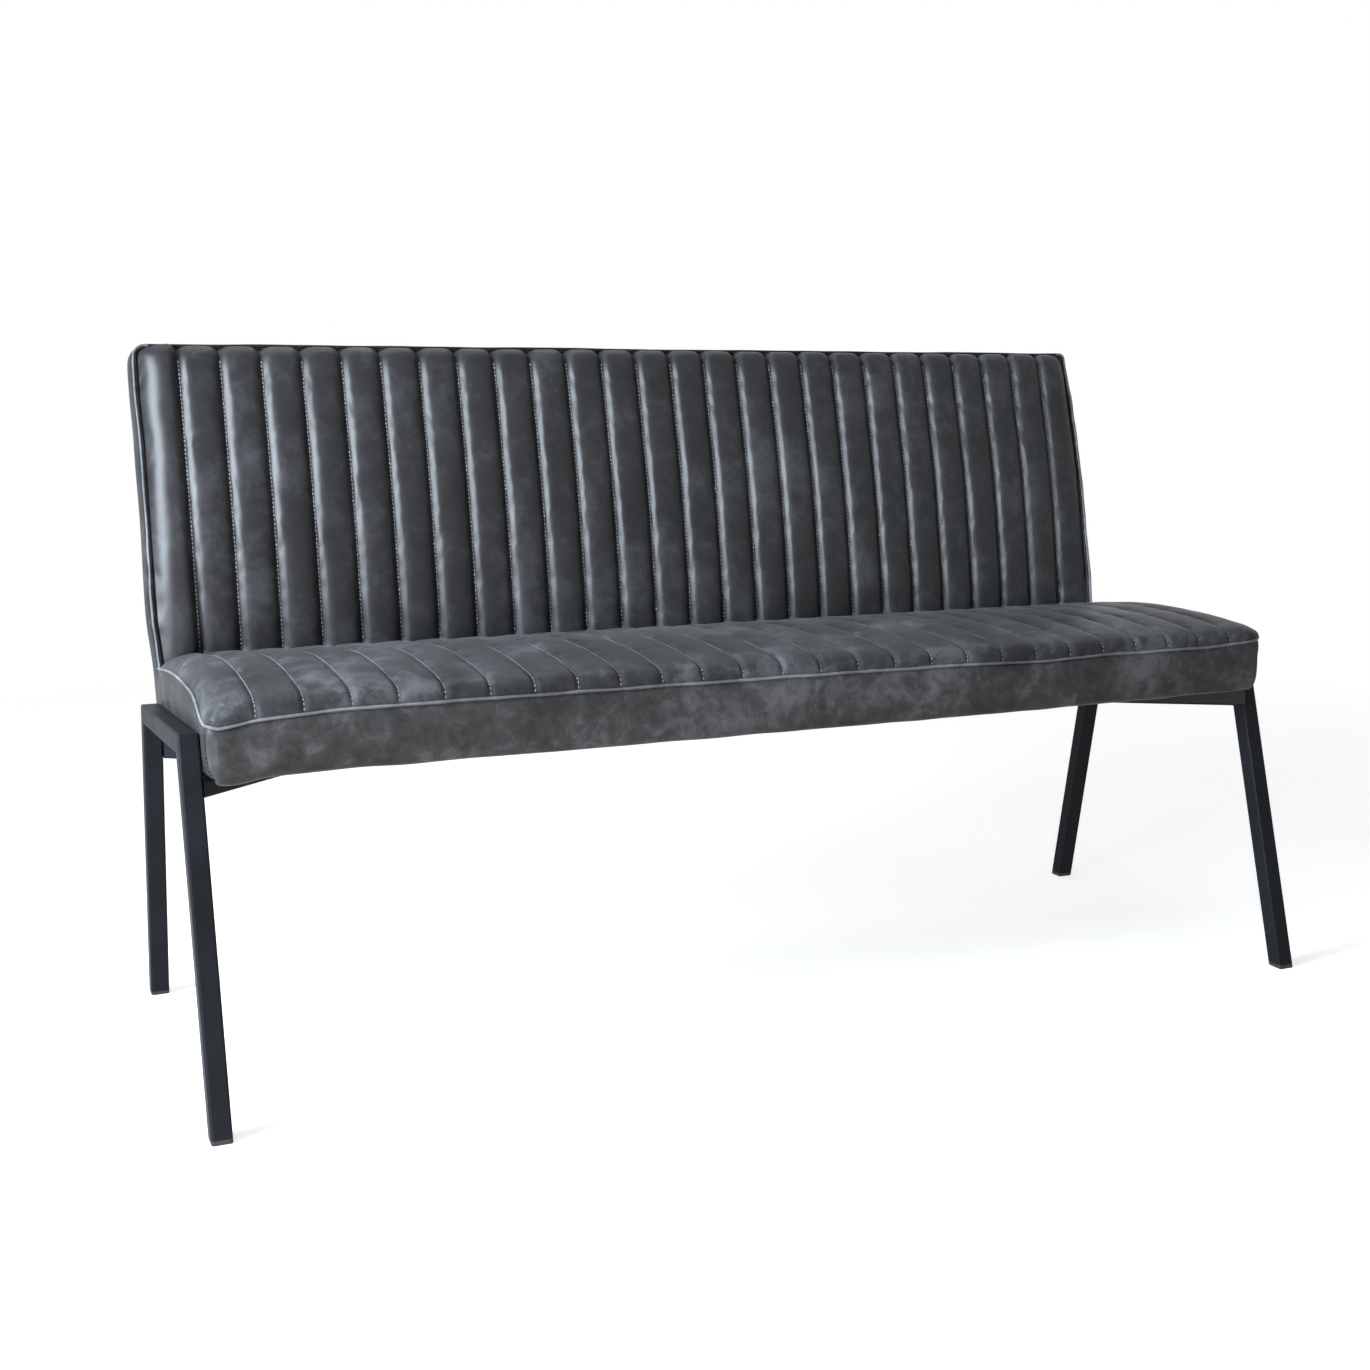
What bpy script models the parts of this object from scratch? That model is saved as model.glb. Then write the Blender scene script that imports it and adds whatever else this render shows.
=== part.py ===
"""An upholstered dining bench: a channel-quilted seat and back on two end frames of square steel tube.

Lengths are in metres and angles in degrees. X runs along the bench, the front faces -Y, the floor is at Z 0.
Most pieces are laid out in one of two tilted planes. In the seat plane, y runs back along the side rails
and z is height above their tops. In the back plane, z runs up the front of the back and y is depth behind
its sewn seams.
"""

import math

import bmesh
import bpy
from mathutils import Matrix, Vector

# Gap kept between pieces that touch
CLEARANCE = 0.0003

# Quilting
CHANNEL_COUNT = 27
CHANNEL_PITCH = 0.056
CHANNEL_SQUARENESS = 4
SEAT_SWELL = 0.005
BACK_SWELL = 0.011

# Steel frame
TUBE = 0.025
TUBE_WALL = 0.002
TUBE_CORNER = 0.003
RAIL_TOP = 0.4496
REAR_KNEE_SET = 0.002
SEAT_TILT = 3.8
FRONT_LEG_LEAN = 15.8
REAR_LEG_LEAN = 10.5
CROSS_TUBE_SPACING = 0.096
BRACE_ANGLE = 47.5
CROSS_TUBE_TAIL = 0.03

# Foot caps
FOOT_SOLE = 0.006
FOOT_PLUG = 0.022
FOOT_EDGE = 0.002

# Seat fixing
PLATE_LENGTH = 0.085
PLATE_WIDTH = 0.040
PLATE_THICKNESS = 0.003
PLATE_SPREAD = 0.84
PLATE_SCREW_SPACING = 0.060
SCREW_SHANK_RADIUS = 0.0024
SCREW_HEAD_RADIUS = 0.0048
SCREW_HEAD_HEIGHT = 0.003
SCREW_TIP_RADIUS = 0.0015
SCREW_TIP_LENGTH = 0.005
SCREW_HEAD_EDGE = 0.0012
PLATE_SCREW_LENGTH = 0.016
BRACKET_SCREW_LENGTH = 0.013

# Leather cover, sewn to a welt of the same thickness
COVER = 0.0045
COVER_RETURN = 0.035
EDGE_ROUND = 0.012

# Seat
SEAT_OVERHANG = 0.059
SEAT_DEPTH = 0.409
SEAT_DROP = 0.048
SEAT_BOARD = 0.018
DUST_COVER = 0.0015
SEAT_PAD_BASE = 0.018
SEAT_CROWN = 0.0736
SEAT_CROWN_SETBACK = 0.245
SEAT_REAR_FALL = 0.008
SEAT_WELT_FRONT = 0.0225
SEAT_WELT_SIDE = 0.049
SEAT_WELT_RISE_RUN = 0.075
SHOULDER = 0.050

# Back
RECLINE = 14.2
BACK_HEIGHT = 0.425
BACK_LIFT = 0.006
BACK_BOW = 0.011
BACK_WELT_SET = 0.004
BACK_PAD = 0.020
BACK_FOAM = 0.025
BACK_BOARD = 0.012
BACK_WADDING = 0.014
TOP_ROUND = 0.022
TOP_SHOULDER = 0.024
TOP_SEAM_SET = 0.004
HEEL_ROUND = 0.045

# Angle brackets between seat board and back board
BRACKET_COUNT = 3
BRACKET_SPACING = 0.52
BRACKET_LEG = 0.060
BRACKET_WIDTH = 0.040
BRACKET_THICKNESS = 0.004
BRACKET_SCREW_PLACE = 0.040

# How finely round shapes are faceted, and how far rows of facets crowd to the edge that curves most
ARC_STEPS = 4
SCREW_STEPS = 12
CHANNEL_STEPS = 3
SEAT_ROWS = 10
SEAT_ROW_CROWDING = 1.7
BACK_ROWS = 9
BACK_ROW_CROWDING = 1.6
SMOOTH_ANGLE = 40.0
COPLANAR_ANGLE = 1.0
WELD = 0.00001

TILT = math.radians(SEAT_TILT)
FRONT_LEAN = math.radians(FRONT_LEG_LEAN)
REAR_LEAN = math.radians(REAR_LEG_LEAN)
BACK_LEAN = math.radians(RECLINE) - TILT
SEAT_WIDTH = CHANNEL_COUNT * CHANNEL_PITCH
COVER_HALF = SEAT_WIDTH / 2
CORE_HALF = COVER_HALF - COVER - CLEARANCE
FRAME_X = COVER_HALF + CLEARANCE + TUBE / 2
WELT_RADIUS = COVER / 2 - CLEARANCE
WELT_SEAT_GAP = COVER / 2 + CLEARANCE

SEAT_FRONT = -SEAT_OVERHANG
SEAT_WELT_Y = SEAT_FRONT + COVER / 2
SEAT_REAR = SEAT_FRONT + SEAT_DEPTH
RAIL_LENGTH = SEAT_REAR - REAR_KNEE_SET
BOARD_BOTTOM = -SEAT_DROP + COVER + CLEARANCE
BOARD_TOP = BOARD_BOTTOM + SEAT_BOARD
DUST_BOTTOM = BOARD_BOTTOM - CLEARANCE - DUST_COVER
PLATE_TOP = DUST_BOTTOM - CLEARANCE
PLATE_BOTTOM = PLATE_TOP - PLATE_THICKNESS
CROSS_TUBE_Z = PLATE_BOTTOM - CLEARANCE - TUBE / 2
BACK_FOOT_Z = SEAT_CROWN - SEAT_REAR_FALL

BACK_FOAM_FRONT = BACK_PAD + CLEARANCE
BACK_BOARD_FRONT = BACK_FOAM_FRONT + BACK_FOAM + CLEARANCE
BACK_WADDING_FRONT = BACK_BOARD_FRONT + BACK_BOARD + CLEARANCE
BACK_DEPTH = BACK_WADDING_FRONT + BACK_WADDING + CLEARANCE + COVER

ALONG_X = Matrix(((0, 0, 1, 0), (1, 0, 0, 0), (0, 1, 0, 0), (0, 0, 0, 1)))
X_AXIS = Vector((1, 0, 0))
Y_AXIS = Vector((0, 1, 0))
Z_AXIS = Vector((0, 0, 1))
# World up, as seen in the seat plane
UP = Vector((0, -math.sin(TILT), math.cos(TILT)))


def remove_old_objects():
    for old in list(bpy.data.objects):
        bpy.data.objects.remove(old)


def new_collection(name, parent):
    collection = bpy.data.collections.new(name)
    parent.children.link(collection)
    return collection


def new_finish(name, colour, roughness, metallic):
    finish = bpy.data.materials.new(name)
    finish.use_nodes = True
    shader = finish.node_tree.nodes["Principled BSDF"]
    shader.inputs["Base Color"].default_value = (*colour, 1)
    shader.inputs["Roughness"].default_value = roughness
    shader.inputs["Metallic"].default_value = metallic
    return finish


def new_plane(name, parent, place, lean):
    plane = bpy.data.objects.new(name, None)
    bench.objects.link(plane)
    plane.parent = parent
    plane.location = place
    plane.rotation_euler.x = -lean
    return plane


def add_piece(name, data, plane, finish):
    piece = bpy.data.objects.new(name, data)
    bench.objects.link(piece)
    piece.parent = plane
    data.materials.append(finish)
    return piece


def add_cutter(name, data, plane, collection):
    cutter = bpy.data.objects.new(name, data)
    collection.objects.link(cutter)
    cutter.parent = plane
    cutter.hide_render = True
    cutter.display_type = "WIRE"
    return cutter


def shade_round(mesh):
    mesh.shade_smooth()
    mesh.set_sharp_from_angle(angle=math.radians(SMOOTH_ANGLE))


def rounded(corners):
    """The outline through (a, b, radius) corners, with an arc at each corner that has a radius."""
    outline = []
    for i, (a, b, radius) in enumerate(corners):
        here = Vector((a, b))
        if radius == 0:
            outline.append(here)
            continue
        before = (Vector(corners[i - 1][:2]) - here).normalized()
        after = (Vector(corners[(i + 1) % len(corners)][:2]) - here).normalized()
        half = before.angle(after) / 2
        centre = here + (before + after).normalized() * radius / math.sin(half)
        first = here + before * radius / math.tan(half) - centre
        sweep = math.copysign(math.pi - 2 * half, after.cross(before))
        for step in range(ARC_STEPS + 1):
            turn = Matrix.Rotation(sweep * step / ARC_STEPS, 2)
            outline.append(centre + turn @ first)
    return outline


def inset(path, distance, closed):
    """The path moved to its right-hand side by a distance, mitred at its points."""
    moved = []
    count = len(path)
    for i, here in enumerate(path):
        runs = []
        if closed or i > 0:
            runs.append((here - path[i - 1]).normalized())
        if closed or i < count - 1:
            runs.append((path[(i + 1) % count] - here).normalized())
        sides = [Vector((run.y, -run.x)) for run in runs]
        middle = sum(sides, Vector((0, 0))).normalized()
        moved.append(here + middle * distance / middle.dot(sides[0]))
    return moved


def extruded_mesh(name, outlines, half_length):
    """Outlines in the mesh's xy plane, the inner ones as holes, extruded both ways along z."""
    curve = bpy.data.curves.new(name, "CURVE")
    curve.dimensions = "2D"
    curve.fill_mode = "BOTH"
    curve.extrude = half_length
    for outline in outlines:
        spline = curve.splines.new("POLY")
        spline.points.add(len(outline) - 1)
        spline.use_cyclic_u = True
        for point, place in zip(spline.points, outline):
            point.co = (place[0], place[1], 0, 1)
    source = bpy.data.objects.new(name, curve)
    bench.objects.link(source)
    bpy.context.view_layer.update()
    mesh = bpy.data.meshes.new_from_object(source.evaluated_get(bpy.context.evaluated_depsgraph_get()))
    bpy.data.objects.remove(source)
    shape = bmesh.new()
    shape.from_mesh(mesh)
    bmesh.ops.remove_doubles(shape, verts=shape.verts, dist=WELD)
    bmesh.ops.recalc_face_normals(shape, faces=shape.faces)
    shape.to_mesh(mesh)
    shape.free()
    mesh.name = name
    return mesh


def add_prism(name, outline, left, right, plane, finish):
    """A piece with one section, drawn in the plane's y and z, from x left to x right."""
    mesh = extruded_mesh(name, [outline], (right - left) / 2)
    piece = add_piece(name, mesh, plane, finish)
    piece.matrix_basis = Matrix.Translation(((left + right) / 2, 0, 0)) @ ALONG_X
    return piece


def cut_with(piece, operation, cutter):
    cut = piece.modifiers.new(operation.lower(), "BOOLEAN")
    cut.operation = operation
    cut.solver = "EXACT"
    if isinstance(cutter, bpy.types.Collection):
        cut.operand_type = "COLLECTION"
        cut.collection = cutter
    else:
        cut.object = cutter


def square(half, corner):
    turns = ((half, -half), (half, half), (-half, half), (-half, -half))
    return rounded([(a, b, corner) for a, b in turns])


def length_frame(start, end, side):
    """The matrix of a length of tube: its origin at start, z towards end and x along side."""
    along = (end - start).normalized()
    across = (side - along * side.dot(along)).normalized()
    turned = Matrix((across, along.cross(across), along)).transposed().to_4x4()
    return Matrix.Translation(start) @ turned


def slide_to_planes(mesh, frame, bottom, top):
    """Moves the two ends of an extruded mesh along its z until they lie on (point, normal) planes."""
    along = frame.col[2].to_3d()
    for vert in mesh.vertices:
        point, normal = top if vert.co.z > 0 else bottom
        base = frame @ Vector((vert.co.x, vert.co.y, 0))
        vert.co.z = (point - base).dot(normal) / along.dot(normal)


def add_tube(name, start, end, bottom, top, side):
    """A length of the square tube whose ends are cut on two planes."""
    inner_half = TUBE / 2 - TUBE_WALL
    inner_corner = max(TUBE_CORNER - TUBE_WALL, CLEARANCE)
    mesh = extruded_mesh(name, [square(TUBE / 2, TUBE_CORNER), square(inner_half, inner_corner)], 1)
    frame = length_frame(start, end, side)
    slide_to_planes(mesh, frame, bottom, top)
    shade_round(mesh)
    tube = add_piece(name, mesh, seat_plane, black_steel)
    tube.matrix_basis = frame
    return tube


def add_foot_cap(name, foot, knee):
    """A moulded cap whose sole carries on the leg's faces to the floor and whose plug fits the leg's bore."""
    mesh = extruded_mesh(name, [square(TUBE / 2, TUBE_CORNER)], 1)
    frame = length_frame(foot, knee, X_AXIS)
    slide_to_planes(mesh, frame, (foot, UP), (foot + UP * FOOT_SOLE, UP))
    up = (frame.inverted().to_3x3() @ UP).normalized()
    shape = bmesh.new()
    shape.from_mesh(mesh)
    bmesh.ops.dissolve_limit(
        shape, angle_limit=math.radians(COPLANAR_ANGLE), verts=shape.verts, edges=shape.edges
    )
    top = max(shape.faces, key=lambda face: face.normal.dot(up))
    sole = min(shape.faces, key=lambda face: face.normal.dot(up))
    bmesh.ops.bevel(
        shape, geom=list(sole.edges), offset=FOOT_EDGE, segments=2, profile=0.5, affect="EDGES"
    )
    bmesh.ops.inset_region(shape, faces=[top], thickness=TUBE_WALL + CLEARANCE, use_even_offset=True)
    plug = bmesh.ops.extrude_face_region(shape, geom=[top])["geom"]
    bmesh.ops.delete(shape, geom=[top], context="FACES_ONLY")
    plug_verts = [item for item in plug if isinstance(item, bmesh.types.BMVert)]
    bmesh.ops.translate(shape, verts=plug_verts, vec=(0, 0, FOOT_PLUG))
    bmesh.ops.recalc_face_normals(shape, faces=shape.faces)
    shape.to_mesh(mesh)
    shape.free()
    shade_round(mesh)
    cap = add_piece(name, mesh, seat_plane, black_plastic)
    cap.matrix_basis = frame


def add_end_frame(side_name, x):
    """One welded end frame: side rail, two legs and their foot caps."""
    front_knee = Vector((x, 0, -TUBE / 2))
    rear_knee = Vector((x, RAIL_LENGTH, -TUBE / 2))
    front_height = RAIL_TOP - TUBE / 2 * math.cos(TILT)
    rear_height = front_height - RAIL_LENGTH * math.sin(TILT)
    front_run = Vector((0, -math.sin(FRONT_LEAN - TILT), -math.cos(FRONT_LEAN - TILT)))
    rear_run = Vector((0, math.sin(REAR_LEAN + TILT), -math.cos(REAR_LEAN + TILT)))
    front_foot = front_knee + front_run * front_height / math.cos(FRONT_LEAN)
    rear_foot = rear_knee + rear_run * rear_height / math.cos(REAR_LEAN)

    front_mitre = (Y_AXIS - front_run).normalized()
    rear_mitre = (Y_AXIS + rear_run).normalized()
    half_gap = CLEARANCE / 2
    add_tube(
        f"{side_name}_side_rail", front_knee, rear_knee,
        (front_knee + front_mitre * half_gap, front_mitre),
        (rear_knee - rear_mitre * half_gap, rear_mitre), X_AXIS,
    )
    legs = (
        ("front", front_foot, front_knee, (front_knee - front_mitre * half_gap, front_mitre)),
        ("rear", rear_foot, rear_knee, (rear_knee + rear_mitre * half_gap, rear_mitre)),
    )
    for end_name, foot, knee, mitre in legs:
        above_sole = (foot + UP * (FOOT_SOLE + CLEARANCE), UP)
        add_tube(f"{end_name}_{side_name}_leg", foot, knee, above_sole, mitre, X_AXIS)
        add_foot_cap(f"{end_name}_{side_name}_foot_cap", foot, knee)


def leg_places():
    """Where the centre lines of the front and rear legs pass the level of the cross tubes."""
    below_knee = -TUBE / 2 - CROSS_TUBE_Z
    front = -below_knee * math.tan(FRONT_LEAN - TILT)
    rear = RAIL_LENGTH + below_knee * math.tan(REAR_LEAN + TILT)
    return front, rear


def cross_tube_places():
    middle = sum(leg_places()) / 2
    return middle - CROSS_TUBE_SPACING / 2, middle + CROSS_TUBE_SPACING / 2


def add_under_frame():
    """Two cross tubes under the seat, each joined to its pair of legs by diagonal braces."""
    leg_face = FRAME_X - TUBE / 2 - CLEARANCE
    ends = zip(("front", "rear"), leg_places(), cross_tube_places())
    for end_name, leg_y, tube_y in ends:
        towards = math.copysign(1, tube_y - leg_y)
        run = abs(tube_y - leg_y) / math.tan(math.radians(BRACE_ANGLE))
        landing = leg_face - run
        tube_end = Vector((landing + CROSS_TUBE_TAIL, tube_y, CROSS_TUBE_Z))
        tube_start = Vector((-tube_end.x, tube_y, CROSS_TUBE_Z))
        add_tube(
            f"{end_name}_cross_tube", tube_start, tube_end,
            (tube_start, X_AXIS), (tube_end, X_AXIS), Z_AXIS,
        )
        for side_name, side in (("left", -1), ("right", 1)):
            at_leg = Vector((side * leg_face, leg_y, CROSS_TUBE_Z))
            at_tube = Vector((side * landing, tube_y, CROSS_TUBE_Z))
            tube_face = at_tube - Y_AXIS * towards * (TUBE / 2 + CLEARANCE)
            add_tube(
                f"{end_name}_{side_name}_brace", at_leg, at_tube,
                (at_leg, X_AXIS), (tube_face, Y_AXIS), Z_AXIS,
            )


def add_screw(name, place, point_towards, length, plane):
    """A pan-head screw, its head's underside at place, with a hole for it in the pieces that it holds."""
    frame = length_frame(place, place + point_towards, X_AXIS)
    profile = (
        (0, length),
        (SCREW_TIP_RADIUS, length),
        (SCREW_SHANK_RADIUS, length - SCREW_TIP_LENGTH),
        (SCREW_SHANK_RADIUS, -CLEARANCE),
        (SCREW_HEAD_RADIUS, -CLEARANCE),
        (SCREW_HEAD_RADIUS, -SCREW_HEAD_HEIGHT + SCREW_HEAD_EDGE),
        (SCREW_HEAD_RADIUS - SCREW_HEAD_EDGE, -SCREW_HEAD_HEIGHT),
        (0, -SCREW_HEAD_HEIGHT),
    )
    mesh = bpy.data.meshes.new(name)
    edges = [(i, i + 1) for i in range(len(profile) - 1)]
    mesh.from_pydata([(radius, 0, height) for radius, height in profile], edges, [])
    screw = add_piece(name, mesh, plane, zinc_steel)
    screw.matrix_basis = frame
    turn = screw.modifiers.new("turn", "SCREW")
    turn.steps = SCREW_STEPS
    turn.render_steps = SCREW_STEPS
    turn.use_merge_vertices = True
    turn.merge_threshold = WELD

    hole_radius = SCREW_SHANK_RADIUS + CLEARANCE
    hole_length = length + CLEARANCE
    hole_mesh = bpy.data.meshes.new(f"{name}_hole")
    shape = bmesh.new()
    bmesh.ops.create_cone(
        shape, cap_ends=True, segments=SCREW_STEPS, radius1=hole_radius, radius2=hole_radius,
        depth=hole_length + CLEARANCE, matrix=Matrix.Translation((0, 0, (hole_length - CLEARANCE) / 2)),
    )
    shape.to_mesh(hole_mesh)
    shape.free()
    hole = add_cutter(f"{name}_hole", hole_mesh, plane, screw_holes)
    hole.matrix_basis = frame


def add_fixing_plates():
    """Plates welded across the cross tubes, screwed up into the seat board through the dust cover."""
    for end_name, tube_y in zip(("front", "rear"), cross_tube_places()):
        for side_name, side in (("left", -1), ("right", 1)):
            name = f"{end_name}_{side_name}_fixing_plate"
            x = side * PLATE_SPREAD / 2
            front = tube_y - PLATE_LENGTH / 2
            rear = tube_y + PLATE_LENGTH / 2
            left = x - PLATE_WIDTH / 2
            right = x + PLATE_WIDTH / 2
            outline = [(front, PLATE_BOTTOM), (rear, PLATE_BOTTOM), (rear, PLATE_TOP), (front, PLATE_TOP)]
            plate = add_prism(name, outline, left, right, seat_plane, black_steel)
            cut_with(plate, "DIFFERENCE", screw_holes)
            for row, offset in (("a", -PLATE_SCREW_SPACING / 2), ("b", PLATE_SCREW_SPACING / 2)):
                place = Vector((x, tube_y + offset, PLATE_BOTTOM))
                add_screw(f"{name}_screw_{row}", place, Z_AXIS, PLATE_SCREW_LENGTH, seat_plane)


def back_to_seat(depth, height):
    """A point of the back plane, as (y, z) in the seat plane."""
    y = SEAT_REAR + depth * math.cos(BACK_LEAN) + height * math.sin(BACK_LEAN)
    z = BACK_FOOT_Z - depth * math.sin(BACK_LEAN) + height * math.cos(BACK_LEAN)
    return y, z


def back_line_y(depth, z):
    """Where the plane at this depth of the back passes height z of the seat plane."""
    at_foot = SEAT_REAR + depth / math.cos(BACK_LEAN)
    return at_foot + (z - BACK_FOOT_Z) * math.tan(BACK_LEAN)


def seat_welt_height(y):
    """Height of the seat welt's centre: low along the front, rising round the corners to the sides."""
    run = min(max((y - SEAT_WELT_Y) / SEAT_WELT_RISE_RUN, 0), 1)
    return SEAT_WELT_FRONT + (SEAT_WELT_SIDE - SEAT_WELT_FRONT) * math.sin(run * math.pi / 2)


def seat_welt_stations():
    """Places along the side of the seat: close together where the welt rises, then one at the back."""
    steps = 2 * ARC_STEPS
    rising = [SEAT_WELT_Y + SEAT_WELT_RISE_RUN * step / steps for step in range(steps + 1)]
    rear = back_line_y(BACK_WELT_SET - COVER, SEAT_WELT_SIDE)
    return [*rising, rear]


def padded_outline(seat_edge):
    """The padded part from the side, clockwise in (y, z), the seat's top edge given from front to back."""
    edge_depth = BACK_WELT_SET + WELT_SEAT_GAP
    rear_edge = seat_edge[-1][1]
    corners = [
        (SEAT_FRONT, -SEAT_DROP, EDGE_ROUND),
        *((y, z, 0) for y, z in seat_edge),
        (back_line_y(edge_depth, rear_edge), rear_edge, 0),
        (*back_to_seat(edge_depth, BACK_HEIGHT), 0),
        (*back_to_seat(BACK_DEPTH, BACK_HEIGHT), TOP_ROUND),
        (back_line_y(BACK_DEPTH, -SEAT_DROP), -SEAT_DROP, HEEL_ROUND),
    ]
    return rounded(corners)


def side_outline():
    """The outline of a side panel, which ends just inside the welts."""
    edge = [(y, seat_welt_height(y) - WELT_SEAT_GAP) for y in seat_welt_stations()[:-1]]
    return padded_outline([(SEAT_FRONT, SEAT_WELT_FRONT - WELT_SEAT_GAP), *edge])


def core_outline():
    """The outline of the space inside the cover, open above the seat's foam."""
    return inset(padded_outline([(SEAT_FRONT, SEAT_CROWN)]), COVER + CLEARANCE, closed=True)


def add_cover_strip(name, corners):
    """A strip of cover between the side panels, drawn along its outer face and as thick as the cover."""
    outer = rounded(corners)
    inner = inset(outer, COVER, closed=False)
    return add_prism(name, outer + inner[::-1], -CORE_HALF, CORE_HALF, seat_plane, leather)


def add_covers():
    """The sewn cover: side panels, front border, top border and rear cover."""
    outline = side_outline()
    add_prism("left_side_panel", outline, -COVER_HALF, -COVER_HALF + COVER, seat_plane, leather)
    add_prism("right_side_panel", outline, COVER_HALF - COVER, COVER_HALF, seat_plane, leather)

    heel_y = back_line_y(BACK_DEPTH, -SEAT_DROP)
    front_top = SEAT_WELT_FRONT - WELT_SEAT_GAP
    top_seam = BACK_DEPTH - TOP_ROUND - TOP_SEAM_SET
    add_cover_strip("seat_front_border", [
        (SEAT_FRONT + EDGE_ROUND + COVER_RETURN, -SEAT_DROP, 0),
        (SEAT_FRONT, -SEAT_DROP, EDGE_ROUND),
        (SEAT_FRONT, front_top, 0),
    ])
    add_cover_strip("back_top_border", [
        (*back_to_seat(BACK_WELT_SET + WELT_SEAT_GAP, BACK_HEIGHT), 0),
        (*back_to_seat(top_seam - CLEARANCE, BACK_HEIGHT), 0),
    ])
    add_cover_strip("back_rear_cover", [
        (*back_to_seat(top_seam, BACK_HEIGHT), 0),
        (*back_to_seat(BACK_DEPTH, BACK_HEIGHT), TOP_ROUND),
        (heel_y, -SEAT_DROP, HEEL_ROUND),
        (heel_y - HEEL_ROUND - COVER_RETURN, -SEAT_DROP, 0),
    ])


def add_core_piece(name, outline, finish):
    """An inner piece that fills its outline as far as the cover lets it."""
    piece = add_prism(name, outline, -CORE_HALF, CORE_HALF, seat_plane, finish)
    cut_with(piece, "INTERSECT", core_space)
    return piece


def back_layer(front, rear):
    """The section of a layer of the back, from the seat board up past the top border."""
    foot_z = BOARD_TOP + CLEARANCE
    reach = BACK_HEIGHT + COVER
    return [
        (back_line_y(front, foot_z), foot_z),
        back_to_seat(front, reach),
        back_to_seat(rear, reach),
        (back_line_y(rear, foot_z), foot_z),
    ]


def add_core():
    """Boards, foams and wadding inside the cover, and the dust cover that closes it below."""
    far_rear = back_line_y(BACK_DEPTH, BOARD_TOP)
    board = add_core_piece("seat_board", [
        (SEAT_FRONT, BOARD_BOTTOM),
        (SEAT_FRONT, BOARD_TOP),
        (far_rear, BOARD_TOP),
        (far_rear, BOARD_BOTTOM),
    ], plywood)
    cut_with(board, "DIFFERENCE", screw_holes)

    dust_front = SEAT_FRONT + EDGE_ROUND + COVER_RETURN + CLEARANCE
    dust_rear = back_line_y(BACK_DEPTH, -SEAT_DROP) - HEEL_ROUND - COVER_RETURN - CLEARANCE
    dust_top = DUST_BOTTOM + DUST_COVER
    dust = add_prism("dust_cover", [
        (dust_front, DUST_BOTTOM),
        (dust_front, dust_top),
        (dust_rear, dust_top),
        (dust_rear, DUST_BOTTOM),
    ], -CORE_HALF, CORE_HALF, seat_plane, black_felt)
    cut_with(dust, "DIFFERENCE", screw_holes)

    foam_foot = BOARD_TOP + CLEARANCE
    foam_rear = BACK_FOAM_FRONT - CLEARANCE
    seat_foam = add_core_piece("seat_foam", [
        (SEAT_FRONT, foam_foot),
        (SEAT_FRONT, SEAT_PAD_BASE),
        (back_line_y(foam_rear, SEAT_PAD_BASE), SEAT_PAD_BASE),
        (back_line_y(foam_rear, foam_foot), foam_foot),
    ], foam)
    cut_with(seat_foam, "DIFFERENCE", bracket_pockets)

    back_foam_rear = BACK_FOAM_FRONT + BACK_FOAM
    back_foam = add_core_piece("back_foam", back_layer(BACK_FOAM_FRONT, back_foam_rear), foam)
    cut_with(back_foam, "DIFFERENCE", bracket_pockets)
    back_board_rear = BACK_BOARD_FRONT + BACK_BOARD
    back_board = add_core_piece("back_board", back_layer(BACK_BOARD_FRONT, back_board_rear), plywood)
    cut_with(back_board, "DIFFERENCE", screw_holes)
    wadding_rear = BACK_WADDING_FRONT + BACK_WADDING
    add_core_piece("back_rear_wadding", back_layer(BACK_WADDING_FRONT, wadding_rear), wadding)


def bracket_outline(gap, thickness, leg):
    """The section of an angle bracket in the corner between the boards, standing off both by a gap."""
    foot_z = BOARD_TOP + gap
    rise = Vector((math.sin(BACK_LEAN), math.cos(BACK_LEAN)))
    corner = Vector((back_line_y(BACK_BOARD_FRONT - gap, foot_z), foot_z))
    upper = corner + rise * leg
    front = corner - Vector((leg, 0))
    outer = [upper, corner, front]
    return outer + inset(outer, thickness, closed=False)[::-1]


def bracket_places():
    middle = (BRACKET_COUNT - 1) / 2
    return [(i - middle) * BRACKET_SPACING for i in range(BRACKET_COUNT)]


def add_bracket_pockets():
    """The recesses in the foams, next to the boards, for the angle brackets and their screw heads."""
    deep = BRACKET_THICKNESS + SCREW_HEAD_HEIGHT + 3 * CLEARANCE
    outline = bracket_outline(0, deep, BRACKET_LEG + 2 * CLEARANCE)
    for x in bracket_places():
        width = BRACKET_WIDTH + 2 * CLEARANCE
        mesh = extruded_mesh("bracket_pocket", [outline], width / 2)
        pocket = add_cutter("bracket_pocket", mesh, seat_plane, bracket_pockets)
        pocket.matrix_basis = Matrix.Translation((x, 0, 0)) @ ALONG_X


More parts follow.
